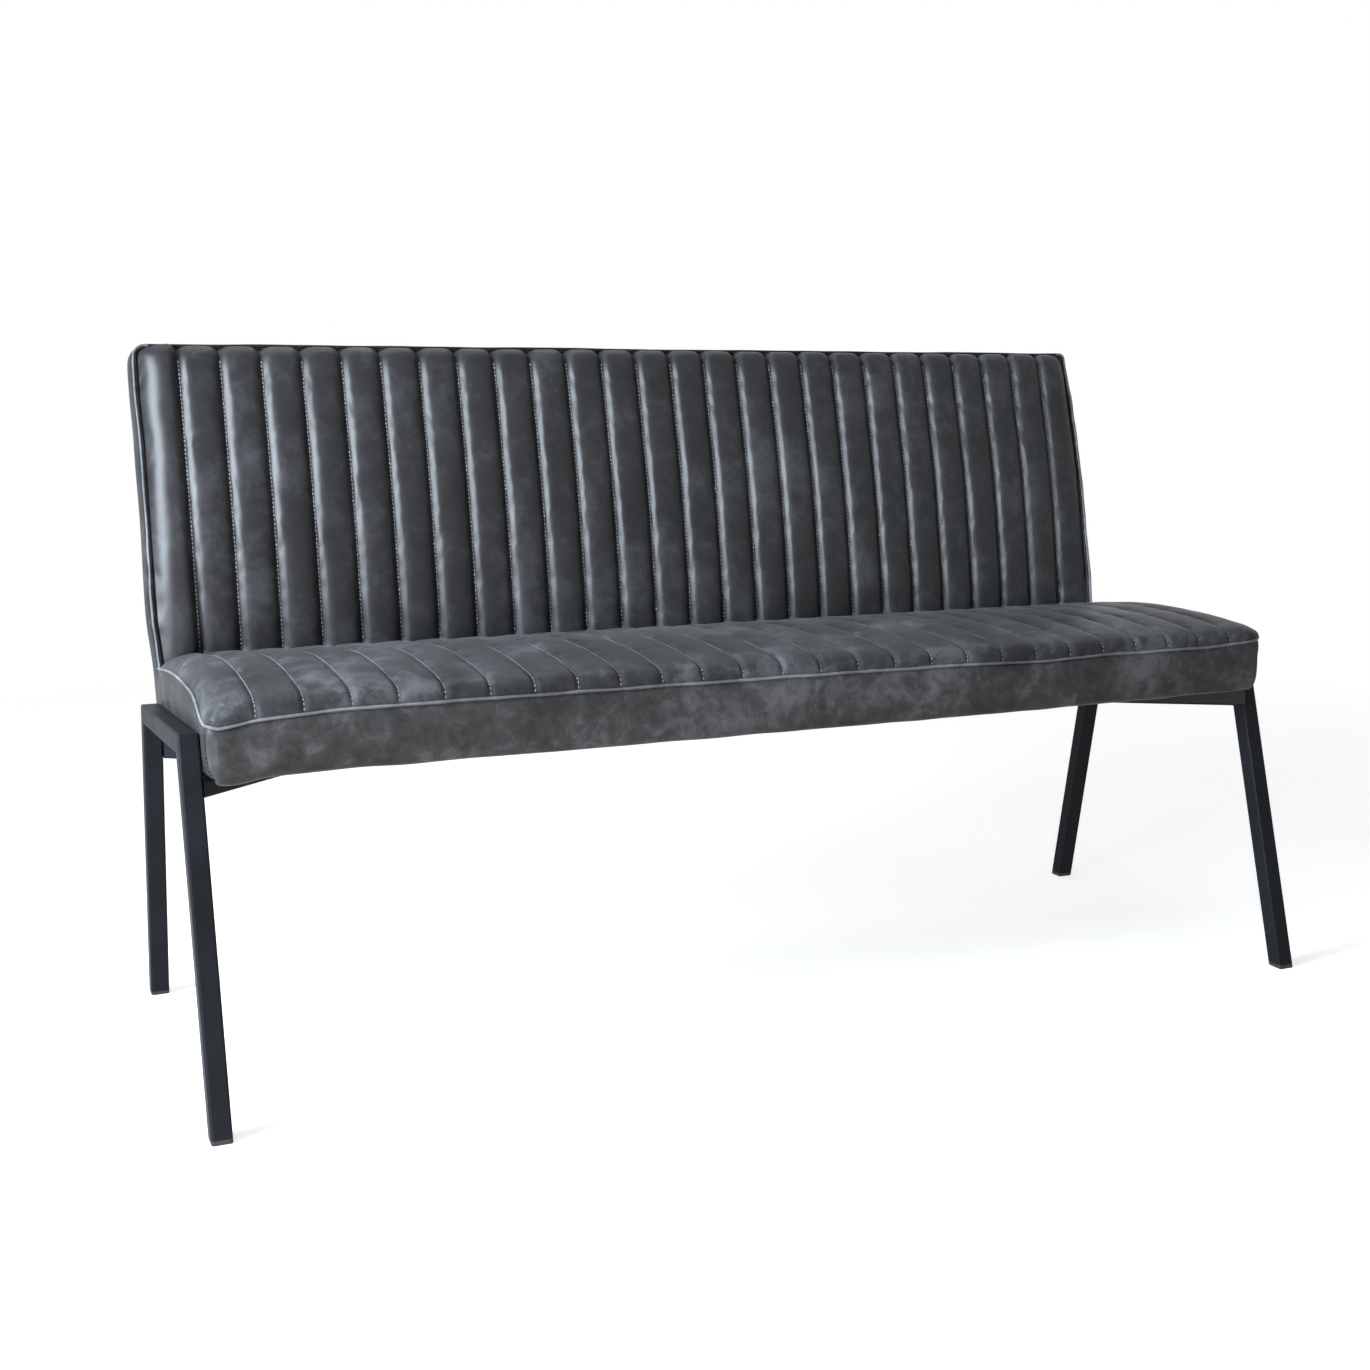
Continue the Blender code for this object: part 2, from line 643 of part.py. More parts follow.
def add_brackets():
    """Steel angle brackets, each screwed down to the seat board and back to the back board."""
    outline = bracket_outline(CLEARANCE, BRACKET_THICKNESS, BRACKET_LEG)
    rise = Vector((0, math.sin(BACK_LEAN), math.cos(BACK_LEAN)))
    rearward = Vector((0, math.cos(BACK_LEAN), -math.sin(BACK_LEAN)))
    corner_z = BOARD_TOP + CLEARANCE
    corner = Vector((0, back_line_y(BACK_BOARD_FRONT - CLEARANCE, corner_z), corner_z))
    for number, x in enumerate(bracket_places(), start=1):
        name = f"back_bracket_{number}"
        left = x - BRACKET_WIDTH / 2
        right = x + BRACKET_WIDTH / 2
        bracket = add_prism(name, outline, left, right, seat_plane, zinc_steel)
        cut_with(bracket, "DIFFERENCE", screw_holes)
        at = corner + X_AXIS * x
        on_seat = at - Y_AXIS * BRACKET_SCREW_PLACE + Z_AXIS * BRACKET_THICKNESS
        on_back = at + rise * BRACKET_SCREW_PLACE - rearward * BRACKET_THICKNESS
        add_screw(f"{name}_seat_screw", on_seat, -Z_AXIS, BRACKET_SCREW_LENGTH, seat_plane)
        add_screw(f"{name}_back_screw", on_back, rearward, BRACKET_SCREW_LENGTH, seat_plane)


def bulge(share):
    """Height of a sewn channel, as a share of its swell, at a share of the way across all channels."""
    across = (share * CHANNEL_COUNT) % 1
    return 1 - (2 * across - 1) ** CHANNEL_SQUARENESS


def quarter_round(distance, run):
    """Rises from 0 at an edge to 1 at a run from it, as a quarter of an ellipse does."""
    left = 1 - min(max(distance / run, 0), 1)
    return math.sqrt(1 - left * left)


def add_quilted_pad(name, rows, surface, base_axis, base, plane):
    """A pad with sewn channels: a grid laid on the surface, its rim carried down to a flat base."""
    shape = bmesh.new()
    bmesh.ops.create_grid(shape, x_segments=CHANNEL_COUNT * CHANNEL_STEPS, y_segments=rows, size=0.5)
    for vert in shape.verts:
        vert.co = surface(vert.co.x + 0.5, vert.co.y + 0.5)
    rim = [edge for edge in shape.edges if edge.is_boundary]
    walls = bmesh.ops.extrude_edge_only(shape, edges=rim)["geom"]
    for item in walls:
        if isinstance(item, bmesh.types.BMVert):
            item.co[base_axis] = base
    foot = [item for item in walls if isinstance(item, bmesh.types.BMEdge) and item.is_boundary]
    bmesh.ops.contextual_create(shape, geom=foot)
    bmesh.ops.recalc_face_normals(shape, faces=shape.faces)
    mesh = bpy.data.meshes.new(name)
    shape.to_mesh(mesh)
    shape.free()
    shade_round(mesh)
    return add_piece(name, mesh, plane, leather)


def seat_profile(y):
    """Height of the seat's seams above the rail tops, along the middle of the bench."""
    setback = y - SEAT_FRONT
    if setback < SEAT_CROWN_SETBACK:
        return SEAT_WELT_FRONT + (SEAT_CROWN - SEAT_WELT_FRONT) * quarter_round(setback, SEAT_CROWN_SETBACK)
    beyond = (setback - SEAT_CROWN_SETBACK) / (SEAT_DEPTH - SEAT_CROWN_SETBACK)
    return SEAT_CROWN - SEAT_REAR_FALL * beyond ** 2


def seat_surface(u, v):
    front = SEAT_FRONT + COVER + CLEARANCE
    rear = back_line_y(BACK_PAD - CLEARANCE, SEAT_PAD_BASE)
    x = (2 * u - 1) * CORE_HALF
    y = front + (rear - front) * v ** SEAT_ROW_CROWDING
    shoulder = quarter_round(CORE_HALF - abs(x), SHOULDER)
    edge = seat_welt_height(y)
    height = edge + (seat_profile(y) - edge) * shoulder
    swell = SEAT_SWELL * bulge(u) * quarter_round(y - front, SHOULDER) * quarter_round(rear - y, SHOULDER)
    return Vector((x, y, height + swell))


def back_surface(u, v):
    x = (2 * u - 1) * CORE_HALF
    shoulder = quarter_round(CORE_HALF - abs(x), SHOULDER)
    foot = BACK_LIFT - (BACK_FOOT_Z - SEAT_WELT_SIDE) * (1 - shoulder)
    top = BACK_HEIGHT - COVER - CLEARANCE
    height = foot + (top - foot) * (1 - (1 - v) ** BACK_ROW_CROWDING)
    over = quarter_round(top - height, TOP_SHOULDER)
    bow = BACK_BOW * (1 - (2 * height / BACK_HEIGHT - 1) ** 2)
    forward = (BACK_WELT_SET + bow) * shoulder * over + BACK_SWELL * bulge(u) * over
    return Vector((x, BACK_WELT_SET - forward, height))


def add_welt(name, places, plane):
    """A round welt through a list of places."""
    curve = bpy.data.curves.new(name, "CURVE")
    curve.dimensions = "3D"
    curve.bevel_depth = WELT_RADIUS
    curve.bevel_resolution = 1
    curve.use_fill_caps = True
    spline = curve.splines.new("POLY")
    spline.points.add(len(places) - 1)
    for point, place in zip(spline.points, places):
        point.co = (*place, 1)
    return add_piece(name, curve, plane, leather)


def add_welts():
    """The welt round the front and ends of the seat, and the one round the sides and top of the back."""
    side_x = COVER_HALF - COVER / 2
    right = [(side_x, y, seat_welt_height(y)) for y in seat_welt_stations()]
    left = [(-x, y, z) for x, y, z in right]
    add_welt("seat_welt", left[::-1] + right, seat_plane)

    top = BACK_HEIGHT - COVER / 2
    foot = (SEAT_WELT_SIDE - BACK_FOOT_Z) / math.cos(BACK_LEAN)
    edge = [(side_x, BACK_WELT_SET, foot), (side_x, BACK_WELT_SET, top)]
    mirrored = [(-x, y, z) for x, y, z in edge]
    add_welt("back_welt", mirrored + edge[::-1], back_plane)


def centre_on_floor(root):
    """Puts the origin under the middle of the bench, on the floor."""
    bpy.context.view_layer.update()
    graph = bpy.context.evaluated_depsgraph_get()
    depths = []
    for piece in bench.objects:
        if piece.type == "EMPTY":
            continue
        shaped = piece.evaluated_get(graph)
        depths.extend((piece.matrix_world @ vert.co).y for vert in shaped.to_mesh().vertices)
        shaped.to_mesh_clear()
    root.location.y = -(min(depths) + max(depths)) / 2


remove_old_objects()
bench = new_collection("dining_bench", bpy.context.scene.collection)
cutters = new_collection("cutters", bpy.context.scene.collection)
screw_holes = new_collection("screw_holes", cutters)
bracket_pockets = new_collection("bracket_pockets", cutters)

black_steel = new_finish("black_steel", (0.020, 0.022, 0.026), 0.45, 0.0)
black_plastic = new_finish("black_plastic", (0.015, 0.015, 0.016), 0.5, 0.0)
zinc_steel = new_finish("zinc_steel", (0.55, 0.56, 0.58), 0.35, 1.0)
leather = new_finish("leather", (0.050, 0.053, 0.062), 0.5, 0.0)
plywood = new_finish("plywood", (0.52, 0.38, 0.24), 0.7, 0.0)
foam = new_finish("foam", (0.78, 0.76, 0.66), 0.9, 0.0)
wadding = new_finish("wadding", (0.85, 0.85, 0.84), 0.95, 0.0)
black_felt = new_finish("black_felt", (0.012, 0.012, 0.012), 0.95, 0.0)

bench_root = new_plane("bench_root", None, (0, 0, 0), 0)
seat_plane = new_plane("seat_plane", bench_root, (0, 0, RAIL_TOP), TILT)
back_plane = new_plane("back_plane", seat_plane, (0, SEAT_REAR, BACK_FOOT_Z), BACK_LEAN)

add_end_frame("left", -FRAME_X)
add_end_frame("right", FRAME_X)
add_under_frame()
add_fixing_plates()

core_mesh = extruded_mesh("core_space", [core_outline()], COVER_HALF)
core_space = add_cutter("core_space", core_mesh, seat_plane, cutters)
core_space.matrix_basis = ALONG_X
add_bracket_pockets()
add_core()
add_brackets()
add_covers()
add_quilted_pad("seat_quilted_top", SEAT_ROWS, seat_surface, 2, SEAT_PAD_BASE + CLEARANCE, seat_plane)
add_quilted_pad("back_quilted_front", BACK_ROWS, back_surface, 1, BACK_PAD, back_plane)
add_welts()
centre_on_floor(bench_root)
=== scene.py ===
import math

import bmesh
import bpy
import numpy as np
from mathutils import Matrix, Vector


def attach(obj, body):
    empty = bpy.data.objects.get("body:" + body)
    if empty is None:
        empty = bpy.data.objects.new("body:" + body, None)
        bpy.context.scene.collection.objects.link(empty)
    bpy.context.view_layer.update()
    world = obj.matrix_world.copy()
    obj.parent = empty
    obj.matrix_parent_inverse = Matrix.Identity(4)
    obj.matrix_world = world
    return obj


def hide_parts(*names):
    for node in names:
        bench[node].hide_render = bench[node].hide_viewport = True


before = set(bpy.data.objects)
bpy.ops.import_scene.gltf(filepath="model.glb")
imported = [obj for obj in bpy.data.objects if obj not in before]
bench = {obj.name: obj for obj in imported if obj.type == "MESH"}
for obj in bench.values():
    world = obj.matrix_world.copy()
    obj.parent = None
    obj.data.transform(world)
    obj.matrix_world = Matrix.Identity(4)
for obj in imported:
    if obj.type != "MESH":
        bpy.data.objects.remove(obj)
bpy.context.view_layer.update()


# The steel frame: two end frames of 25 mm square tube, mitred and welded, joined under the seat by
# two cross tubes and four diagonal braces, with flat plates welded on for the seat screws.
# All of it is powder coated in black, with a slight orange-peel texture.
def new_finish(name, roughness=0.5, metallic=0.0, specular=0.5):
    finish = bpy.data.materials.new(name)
    finish.use_nodes = True
    shader = finish.node_tree.nodes["Principled BSDF"]
    shader.inputs["Roughness"].default_value = roughness
    shader.inputs["Metallic"].default_value = metallic
    shader.inputs["Specular IOR Level"].default_value = specular
    return finish, shader


def add_node(finish, kind, settings=None, **sockets):
    """A shader node. Its sockets go by name, or by number, as i0."""
    made = finish.node_tree.nodes.new(kind)
    for key, value in (settings or {}).items():
        setattr(made, key, value)
    for key, value in sockets.items():
        by_number = key[0] == "i" and key[1:].isdigit()
        socket = made.inputs[int(key[1:]) if by_number else key]
        if isinstance(value, bpy.types.NodeSocket):
            finish.node_tree.links.new(value, socket)
        else:
            socket.default_value = value
    return made


def on_object(finish, stretch=(1, 1, 1)):
    place = add_node(finish, "ShaderNodeTexCoord").outputs["Object"]
    return add_node(finish, "ShaderNodeMapping", Vector=place, Scale=stretch).outputs[0]


def noise(finish, place, scale, detail=4.0, roughness=0.55, distortion=0.0):
    made = add_node(
        finish, "ShaderNodeTexNoise", Vector=place, Scale=scale, Detail=detail,
        Roughness=roughness, Distortion=distortion,
    )
    return made.outputs["Fac"]


def tint(finish, shader, factor, *stops):
    """Colours a finish by (place, colour) stops along a texture."""
    made = add_node(finish, "ShaderNodeValToRGB", Fac=factor)
    band = made.color_ramp
    while len(band.elements) < len(stops):
        band.elements.new(0.5)
    for element, (at, colour) in zip(band.elements, stops):
        element.position = at
        element.color = (*colour, 1)
    finish.node_tree.links.new(made.outputs["Color"], shader.inputs["Base Color"])


def spread(finish, factor, low, high, from_low=0.3, from_high=0.7):
    made = add_node(
        finish, "ShaderNodeMapRange", Value=factor, i1=from_low, i2=from_high, i3=low, i4=high,
    )
    return made.outputs[0]


def vary_roughness(finish, shader, factor, low, high):
    rough = spread(finish, factor, low, high)
    finish.node_tree.links.new(rough, shader.inputs["Roughness"])


def rough_up(finish, shader, *layers):
    """Stacks bump layers of (height socket, depth in metres, strength)."""
    normal = None
    for height, depth, strength in layers:
        bump = add_node(finish, "ShaderNodeBump", Height=height, Distance=depth, Strength=strength)
        if normal is not None:
            finish.node_tree.links.new(normal, bump.inputs["Normal"])
        normal = bump.outputs["Normal"]
    finish.node_tree.links.new(normal, shader.inputs["Normal"])


def dress(names, finish):
    for name in names:
        data = bench[name].data
        data.materials.clear()
        data.materials.append(finish)


powder_coat, shader = new_finish("black_powder_coat", specular=0.02)
shader.inputs["Coat Weight"].default_value = 0.15
shader.inputs["Coat Roughness"].default_value = 0.38
place = on_object(powder_coat)
drift = noise(powder_coat, place, scale=14, detail=3)
tint(
    powder_coat, shader, drift,
    (0.3, (0.0066, 0.0075, 0.0094)), (0.72, (0.0112, 0.0127, 0.0160)),
)
vary_roughness(powder_coat, shader, drift, 0.42, 0.56)
orange_peel = noise(powder_coat, place, scale=900, detail=2)
rough_up(powder_coat, shader, (orange_peel, 0.00012, 0.5))

LEG_PLACES = ("front_left", "front_right", "rear_left", "rear_right")
dress(["left_side_rail", "right_side_rail", "front_cross_tube", "rear_cross_tube"], powder_coat)
for member in ("leg", "brace", "fixing_plate"):
    dress([f"{leg}_{member}" for leg in LEG_PLACES], powder_coat)


# The feet: moulded plastic caps plugged into the open lower ends of the legs.
# They are matt black with the fine spark-eroded texture of a cheap moulding.
cap_plastic, shader = new_finish("black_cap_plastic", specular=0.4)
place = on_object(cap_plastic)
scuff = noise(cap_plastic, place, scale=60, detail=5)
tint(cap_plastic, shader, scuff, (0.35, (0.012, 0.012, 0.013)), (0.75, (0.024, 0.024, 0.025)))
vary_roughness(cap_plastic, shader, scuff, 0.46, 0.62)
sparks = noise(cap_plastic, place, scale=1600, detail=2)
rough_up(cap_plastic, shader, (sparks, 0.0001, 0.4))
dress([f"{leg}_foot_cap" for leg in LEG_PLACES], cap_plastic)


# The fastenings: zinc-plated pan-head screws under the seat, and the steel angle brackets inside
# the upholstery that hold the back board to the seat board.
zinc, shader = new_finish("bright_zinc", metallic=1.0)
place = on_object(zinc)
bloom = noise(zinc, place, scale=240, detail=4)
tint(zinc, shader, bloom, (0.3, (0.46, 0.47, 0.49)), (0.7, (0.62, 0.62, 0.60)))
vary_roughness(zinc, shader, bloom, 0.28, 0.45)
plating = noise(zinc, place, scale=1800, detail=2)
rough_up(zinc, shader, (plating, 0.00005, 0.4))
dress([name for name in bench if "screw" in name or "bracket" in name], zinc)


# The boards inside the upholstery: birch plywood, 18 mm under the seat and 12 mm in the back.
# They are bare, with a long grain along the bench. The seat board has rounded front corners, and
# its lower edge is planed off all round, so that the cover can roll under it.
SEAT_TILT = math.radians(3.8)
SEAT_Y, SEAT_Z = -0.195133, 0.4496
BOARD_HALF, BOARD_FRONT, BOARD_CORNER = 0.7512, -0.0542, 0.022


def on_seat(x, s, n):
    """World places from the seat's own axes: x along the bench, s back along the rails, n above."""
    y = s * math.cos(SEAT_TILT) + n * math.sin(SEAT_TILT) + SEAT_Y
    z = SEAT_Z - s * math.sin(SEAT_TILT) + n * math.cos(SEAT_TILT)
    return np.stack(np.broadcast_arrays(x, y, z), -1)


def put_in_scene(name, data):
    piece = bpy.data.objects.new(name, data)
    bpy.context.scene.collection.objects.link(piece)
    return piece


def new_piece(name, points, faces):
    mesh = bpy.data.meshes.new(name)
    mesh.from_pydata(points.reshape(-1, 3).tolist(), [], faces)
    return put_in_scene(name, mesh)


def stack_of_rings(name, rings):
    """A closed mesh through rings of points, capped at both ends."""
    count, around, _ = rings.shape
    number = np.arange(count * around).reshape(count, around)
    after = np.roll(number, -1, axis=1)
    quads = np.stack([number[:-1], number[1:], after[1:], after[:-1]], -1).reshape(-1, 4)
    caps = [number[0].tolist(), number[-1][::-1].tolist()]
    return new_piece(name, rings, quads.tolist() + caps)


def board_ring(inset, n, rear):
    """The outline of the seat board at one height: its ends and front go in by inset."""
    half, front, radius = BOARD_HALF - inset, BOARD_FRONT + inset, BOARD_CORNER
    turn = np.linspace(0, math.pi / 2, 8)
    corner_x = half - radius + radius * np.cos(turn)
    corner = np.stack([corner_x, front + radius - radius * np.sin(turn)], -1)
    plan = np.concatenate([[(-half, rear)], corner * (-1, 1), corner[::-1], [(half, rear)]])
    return on_seat(plan[:, 0], plan[:, 1], n)


ply, shader = new_finish("bare_plywood", specular=0.3)
place = on_object(ply, stretch=(1.2, 14, 14))
grain = noise(ply, place, scale=9, detail=6, roughness=0.6, distortion=0.8)
tint(
    ply, shader, grain,
    (0.3, (0.40, 0.27, 0.15)), (0.55, (0.53, 0.39, 0.24)), (0.8, (0.60, 0.46, 0.30)),
)
vary_roughness(ply, shader, grain, 0.6, 0.75)
rough_up(ply, shader, (grain, 0.0003, 0.4))
dress(["back_board"], ply)
seat_board = stack_of_rings("seat_base_board", np.stack([
    board_ring(0, -0.0252, 0.4026),
    board_ring(0.0040, -0.0300, 0.4010),
    board_ring(0.0090, -0.0375, 0.3940),
    board_ring(0.0150, -0.0432, 0.3845),
]))
seat_board.data.materials.append(ply)
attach(seat_board, "root")
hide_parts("seat_board")


# The stuffing: cream polyurethane foam on both boards, and white polyester wadding behind the back.
# The cover hides all of it.
for name, pale, deep, pores, nodes in (
    ("cream_foam", (0.80, 0.77, 0.64), (0.66, 0.62, 0.48), 700, ["seat_foam", "back_foam"]),
    ("white_wadding", (0.86, 0.86, 0.85), (0.74, 0.74, 0.73), 160, ["back_rear_wadding"]),
):
    stuffing, shader = new_finish(name, 0.95, specular=0.1)
    cells = noise(stuffing, on_object(stuffing), scale=pores, detail=3)
    tint(stuffing, shader, cells, (0.3, deep), (0.6, pale))
    rough_up(stuffing, shader, (cells, 0.0006, 0.7))
    dress(nodes, stuffing)


# The dust cover: a thin black non-woven felt stapled under the seat board, inside the edge of the
# leather. It has short random fibres and no weave.
felt, shader = new_finish("black_felt", 0.95, specular=0.15)
fibres = noise(felt, on_object(felt), scale=520, detail=5, roughness=0.7, distortion=1.5)
tint(felt, shader, fibres, (0.35, (0.008, 0.008, 0.009)), (0.7, (0.026, 0.026, 0.027)))
rough_up(felt, shader, (fibres, 0.0005, 0.8))
dress(["dust_cover"], felt)


# The seat top: anthracite faux leather, quilted to wadding in 27 channels, each 56 mm wide.
# It falls over the front in a soft curve, and its sides come down to the welt over rounded foam.
CHANNELS = 27
CHANNEL = 0.056
ACROSS_CHANNEL = (
    0, 0.02, 0.055, 0.09, 0.125, 0.18, 0.30, 0.5, 0.70, 0.82, 0.875, 0.91, 0.945, 0.98,
)
PROFILE_ROWS = 62
SEAT_HALF = 0.7545
SEAT_FRONT = -0.0600
SEAT_CORNER = 0.014
SEAT_PUFF = 0.0034
SEAT_SLOPE = 0.55
SEAT_SHOULDER = 0.050
SEAT_BASE = 0.0183
FRONT_WELT_FADE = 0.035
WELT_OVER_TOP = 0.004


def smooth_through(stops):
    """A smooth curve through (place, value) stops, level beyond its ends."""
    at, value = np.array(stops, float).T
    run = np.diff(at)
    slope = np.diff(value) / run
    lean = np.zeros(len(at))
    both = slope[:-1] * slope[1:]
    mean = 2 * both / np.where(both > 0, slope[:-1] + slope[1:], 1)
    lean[1:-1] = np.where(both > 0, mean, 0)
    lean[[0, -1]] = slope[[0, -1]]

    def read(place):
        place = np.clip(place, at[0], at[-1])
        i = np.clip(np.searchsorted(at, place, side="right") - 1, 0, len(run) - 1)
        q = (place - at[i]) / run[i]
        rising = value[i] + (value[i + 1] - value[i]) * q * q * (3 - 2 * q)
        return rising + run[i] * q * (1 - q) * (lean[i] * (1 - q) - lean[i + 1] * q)

    return read


def lengths_along(points):
    steps = np.linalg.norm(np.diff(points, axis=0), axis=1)
    return np.concatenate([[0], np.cumsum(steps)])


def path_through(corners, count, crowd=1.0):
    """Points along a smooth path through (a, b) corners, crowded towards its start."""
    corners = np.array(corners, float)
    chord = lengths_along(corners)
    at = np.linspace(0, 1, count) ** crowd * chord[-1]
    a = smooth_through(list(zip(chord, corners[:, 0])))(at)
    b = smooth_through(list(zip(chord, corners[:, 1])))(at)
    return a, b, at


def quarter_round(distance, run):
    left = 1 - np.clip(distance / run, 0, 1)
    return np.sqrt(1 - left * left)


def round_corner(a, b, half, end, radius):
    """Bends the corners of a flat sheet into arcs: a runs as far as half each way, b to end."""
    p = np.clip((np.abs(a) - (half - radius)) / radius, 0, 1)
    q = np.clip((b - (end - radius)) / radius, 0, 1)
    a_size = np.minimum(np.abs(a), half - radius) + radius * p * np.sqrt(1 - q * q / 2)
    b_bent = np.minimum(b, end - radius) + radius * q * np.sqrt(1 - p * p / 2)
    return np.sign(a) * a_size, b_bent


def outward(points):
    """Unit normals of a grid of points."""
    normal = np.cross(np.gradient(points, axis=1), np.gradient(points, axis=0))
    return normal / np.linalg.norm(normal, axis=-1, keepdims=True)


def wander(points, size, seed):
    """Smooth, repeatable unevenness between -1 and 1, for slack in a sheet."""
    chance = np.random.default_rng(seed)
    total = np.zeros(points.shape[:-1])
    for _ in range(9):
        way = chance.normal(size=3)
        way /= np.linalg.norm(way) * size * chance.uniform(0.6, 1.6)
        total += np.sin(points @ way * 2 * math.pi + chance.uniform(0, 2 * math.pi))
    return np.clip(total / 4.5, -1, 1)


def sheet_of(name, points):
    rows, columns, _ = points.shape
    number = np.arange(rows * columns).reshape(rows, columns)
    quads = np.stack([number[:-1, :-1], number[:-1, 1:], number[1:, 1:], number[1:, :-1]], -1)
    sheet = new_piece(name, points, quads.reshape(-1, 4).tolist())
    sheet.data.shade_smooth()
    return sheet


def swell(sheet, points, sewn, slack, most, seed):
    """Swells a sheet by cloth simulation where it isn't sewn down, by a set distance at most."""
    held = sheet.vertex_groups.new(name="sewn")
    held.add(np.flatnonzero(sewn.ravel()).tolist(), 1.0, "REPLACE")
    loose = sheet.vertex_groups.new(name="slack")
    shares = 0.5 + 0.5 * wander(points, 0.11, seed)
    for number, share in enumerate(shares.ravel().tolist()):
        loose.add([number], share, "REPLACE")
    steps = 20
    cloth = sheet.modifiers.new("swell", "CLOTH")
    cloth.settings.quality = 5
    cloth.settings.mass = 0.25
    cloth.settings.tension_stiffness = 25
    cloth.settings.compression_stiffness = 25
    cloth.settings.shear_stiffness = 10
    cloth.settings.bending_stiffness = 0.8
    cloth.settings.vertex_group_mass = "sewn"
    cloth.settings.vertex_group_shrink = "slack"
    cloth.settings.shrink_min = -slack * 0.3
    cloth.settings.shrink_max = -slack
    cloth.settings.use_pressure = True
    cloth.settings.uniform_pressure_force = 2.0
    cloth.settings.effector_weights.gravity = 0
    cloth.collision_settings.use_collision = False
    cloth.point_cache.frame_start = 1
    cloth.point_cache.frame_end = steps
    for step in range(1, steps + 1):
        bpy.context.scene.frame_set(step)
    settled = sheet.evaluated_get(bpy.context.evaluated_depsgraph_get()).data
    ended = np.empty(points.size, np.float32)
    settled.vertices.foreach_get("co", ended)
    bpy.context.scene.frame_set(1)
    sheet.modifiers.remove(cloth)
    sheet.vertex_groups.clear()
    moved = ended.reshape(points.shape) - points
    length = np.linalg.norm(moved, axis=-1, keepdims=True)
    points += moved * np.minimum(1, most / np.maximum(length, 1e-9))
    sheet.data.vertices.foreach_set("co", points.ravel())
    sheet.data.update()


def crease_columns(sheet, points, columns):
    """Marks columns of a grid as seams, which stay sharp when the sheet is subdivided."""
    width = points.shape[1]
    wanted = np.zeros(width, bool)
    wanted[list(columns)] = True
    shape = bmesh.new()
    shape.from_mesh(sheet.data)
    layer = shape.edges.layers.float.new("crease_edge")
    for edge in shape.edges:
        first, second = (vert.index for vert in edge.verts)
        if first % width == second % width and wanted[first % width]:
            edge[layer] = 1.0
    shape.to_mesh(sheet.data)
    shape.free()


def refine(sheet, thickness=0.0):
    """Subdivides a sheet once, and gives it the thickness of the leather if it has one."""
    if thickness:
        skin = sheet.modifiers.new("leather", "SOLIDIFY")
        skin.thickness = thickness
        skin.offset = -1
    finer = sheet.modifiers.new("finer", "SUBSURF")
    finer.levels = 1
    finer.render_levels = 1
    evaluated = sheet.evaluated_get(bpy.context.evaluated_depsgraph_get())
    mesh = bpy.data.meshes.new_from_object(evaluated)
    sheet.modifiers.clear()
    sheet.data = mesh
    mesh.shade_smooth()


def quilted_sheet(name, points, seams, slack, most, seed):
    """A sheet sewn down round its rim and along its seams. Its points move to where it settles."""
    sheet = sheet_of(name, points)
    sewn = np.zeros(points.shape[:2], bool)
    sewn[[0, -1], :] = True
    sewn[:, [0, -1, *seams]] = True
    swell(sheet, points, sewn, slack, most, seed)
    crease_columns(sheet, points, seams)
    refine(sheet)
    return sheet


def close_below(sheet, towards, depth):
    """Turns a sheet into a closed pad: its rim goes down to a flat base."""
    shape = bmesh.new()
    shape.from_mesh(sheet.data)
    rim = [edge for edge in shape.edges if edge.is_boundary]
    made = bmesh.ops.extrude_edge_only(shape, edges=rim)["geom"]
    for item in made:
        if isinstance(item, bmesh.types.BMVert):
            item.co += towards * (depth - item.co.dot(towards))
    foot = [item for item in made if isinstance(item, bmesh.types.BMEdge) and item.is_boundary]
    bmesh.ops.contextual_create(shape, geom=foot)
    bmesh.ops.recalc_face_normals(shape, faces=shape.faces)
    shape.to_mesh(sheet.data)
    shape.free()
    sheet.data.shade_smooth()


def waxed_leather(name, deep, middle, pale, gloss=0.12, cloudy=(0.40, 0.61), pebble=0.35):
    """Faux leather with a cloudy waxed bloom, pale scuffs and a fine pebbled grain."""
    leather, shader = new_finish(name, specular=0.02)
    shader.inputs["Sheen Weight"].default_value = 0.04
    shader.inputs["Sheen Roughness"].default_value = 0.50
    shader.inputs["Coat Weight"].default_value = gloss
    shader.inputs["Coat Roughness"].default_value = 0.30
    place = on_object(leather)
    clouds = noise(leather, place, scale=9, detail=6, roughness=0.66, distortion=0.25)
    scuffs = noise(leather, place, scale=38, detail=8, roughness=0.72, distortion=0.5)
    cells = add_node(
        leather, "ShaderNodeTexVoronoi", {"feature": "SMOOTH_F1"}, Vector=place, Scale=620.0,
    )
    wear = add_node(
        leather, "ShaderNodeMix", {"data_type": "FLOAT"}, i0=0.42, i2=clouds, i3=scuffs,
    )
    tint(leather, shader, wear.outputs[0], (cloudy[0], deep), (0.5, middle), (cloudy[1], pale))
    vary_roughness(leather, shader, scuffs, 0.40, 0.56)
    rough_up(
        leather, shader, (clouds, 0.0006, 0.2), (scuffs, 0.0004, 0.6 * pebble),
        (cells.outputs["Distance"], 0.00016, pebble),
    )
    return leather


leather = waxed_leather(
    "anthracite_leather",
    (0.0205, 0.0200, 0.0210), (0.0365, 0.0368, 0.0392), (0.0890, 0.0914, 0.0994),
)

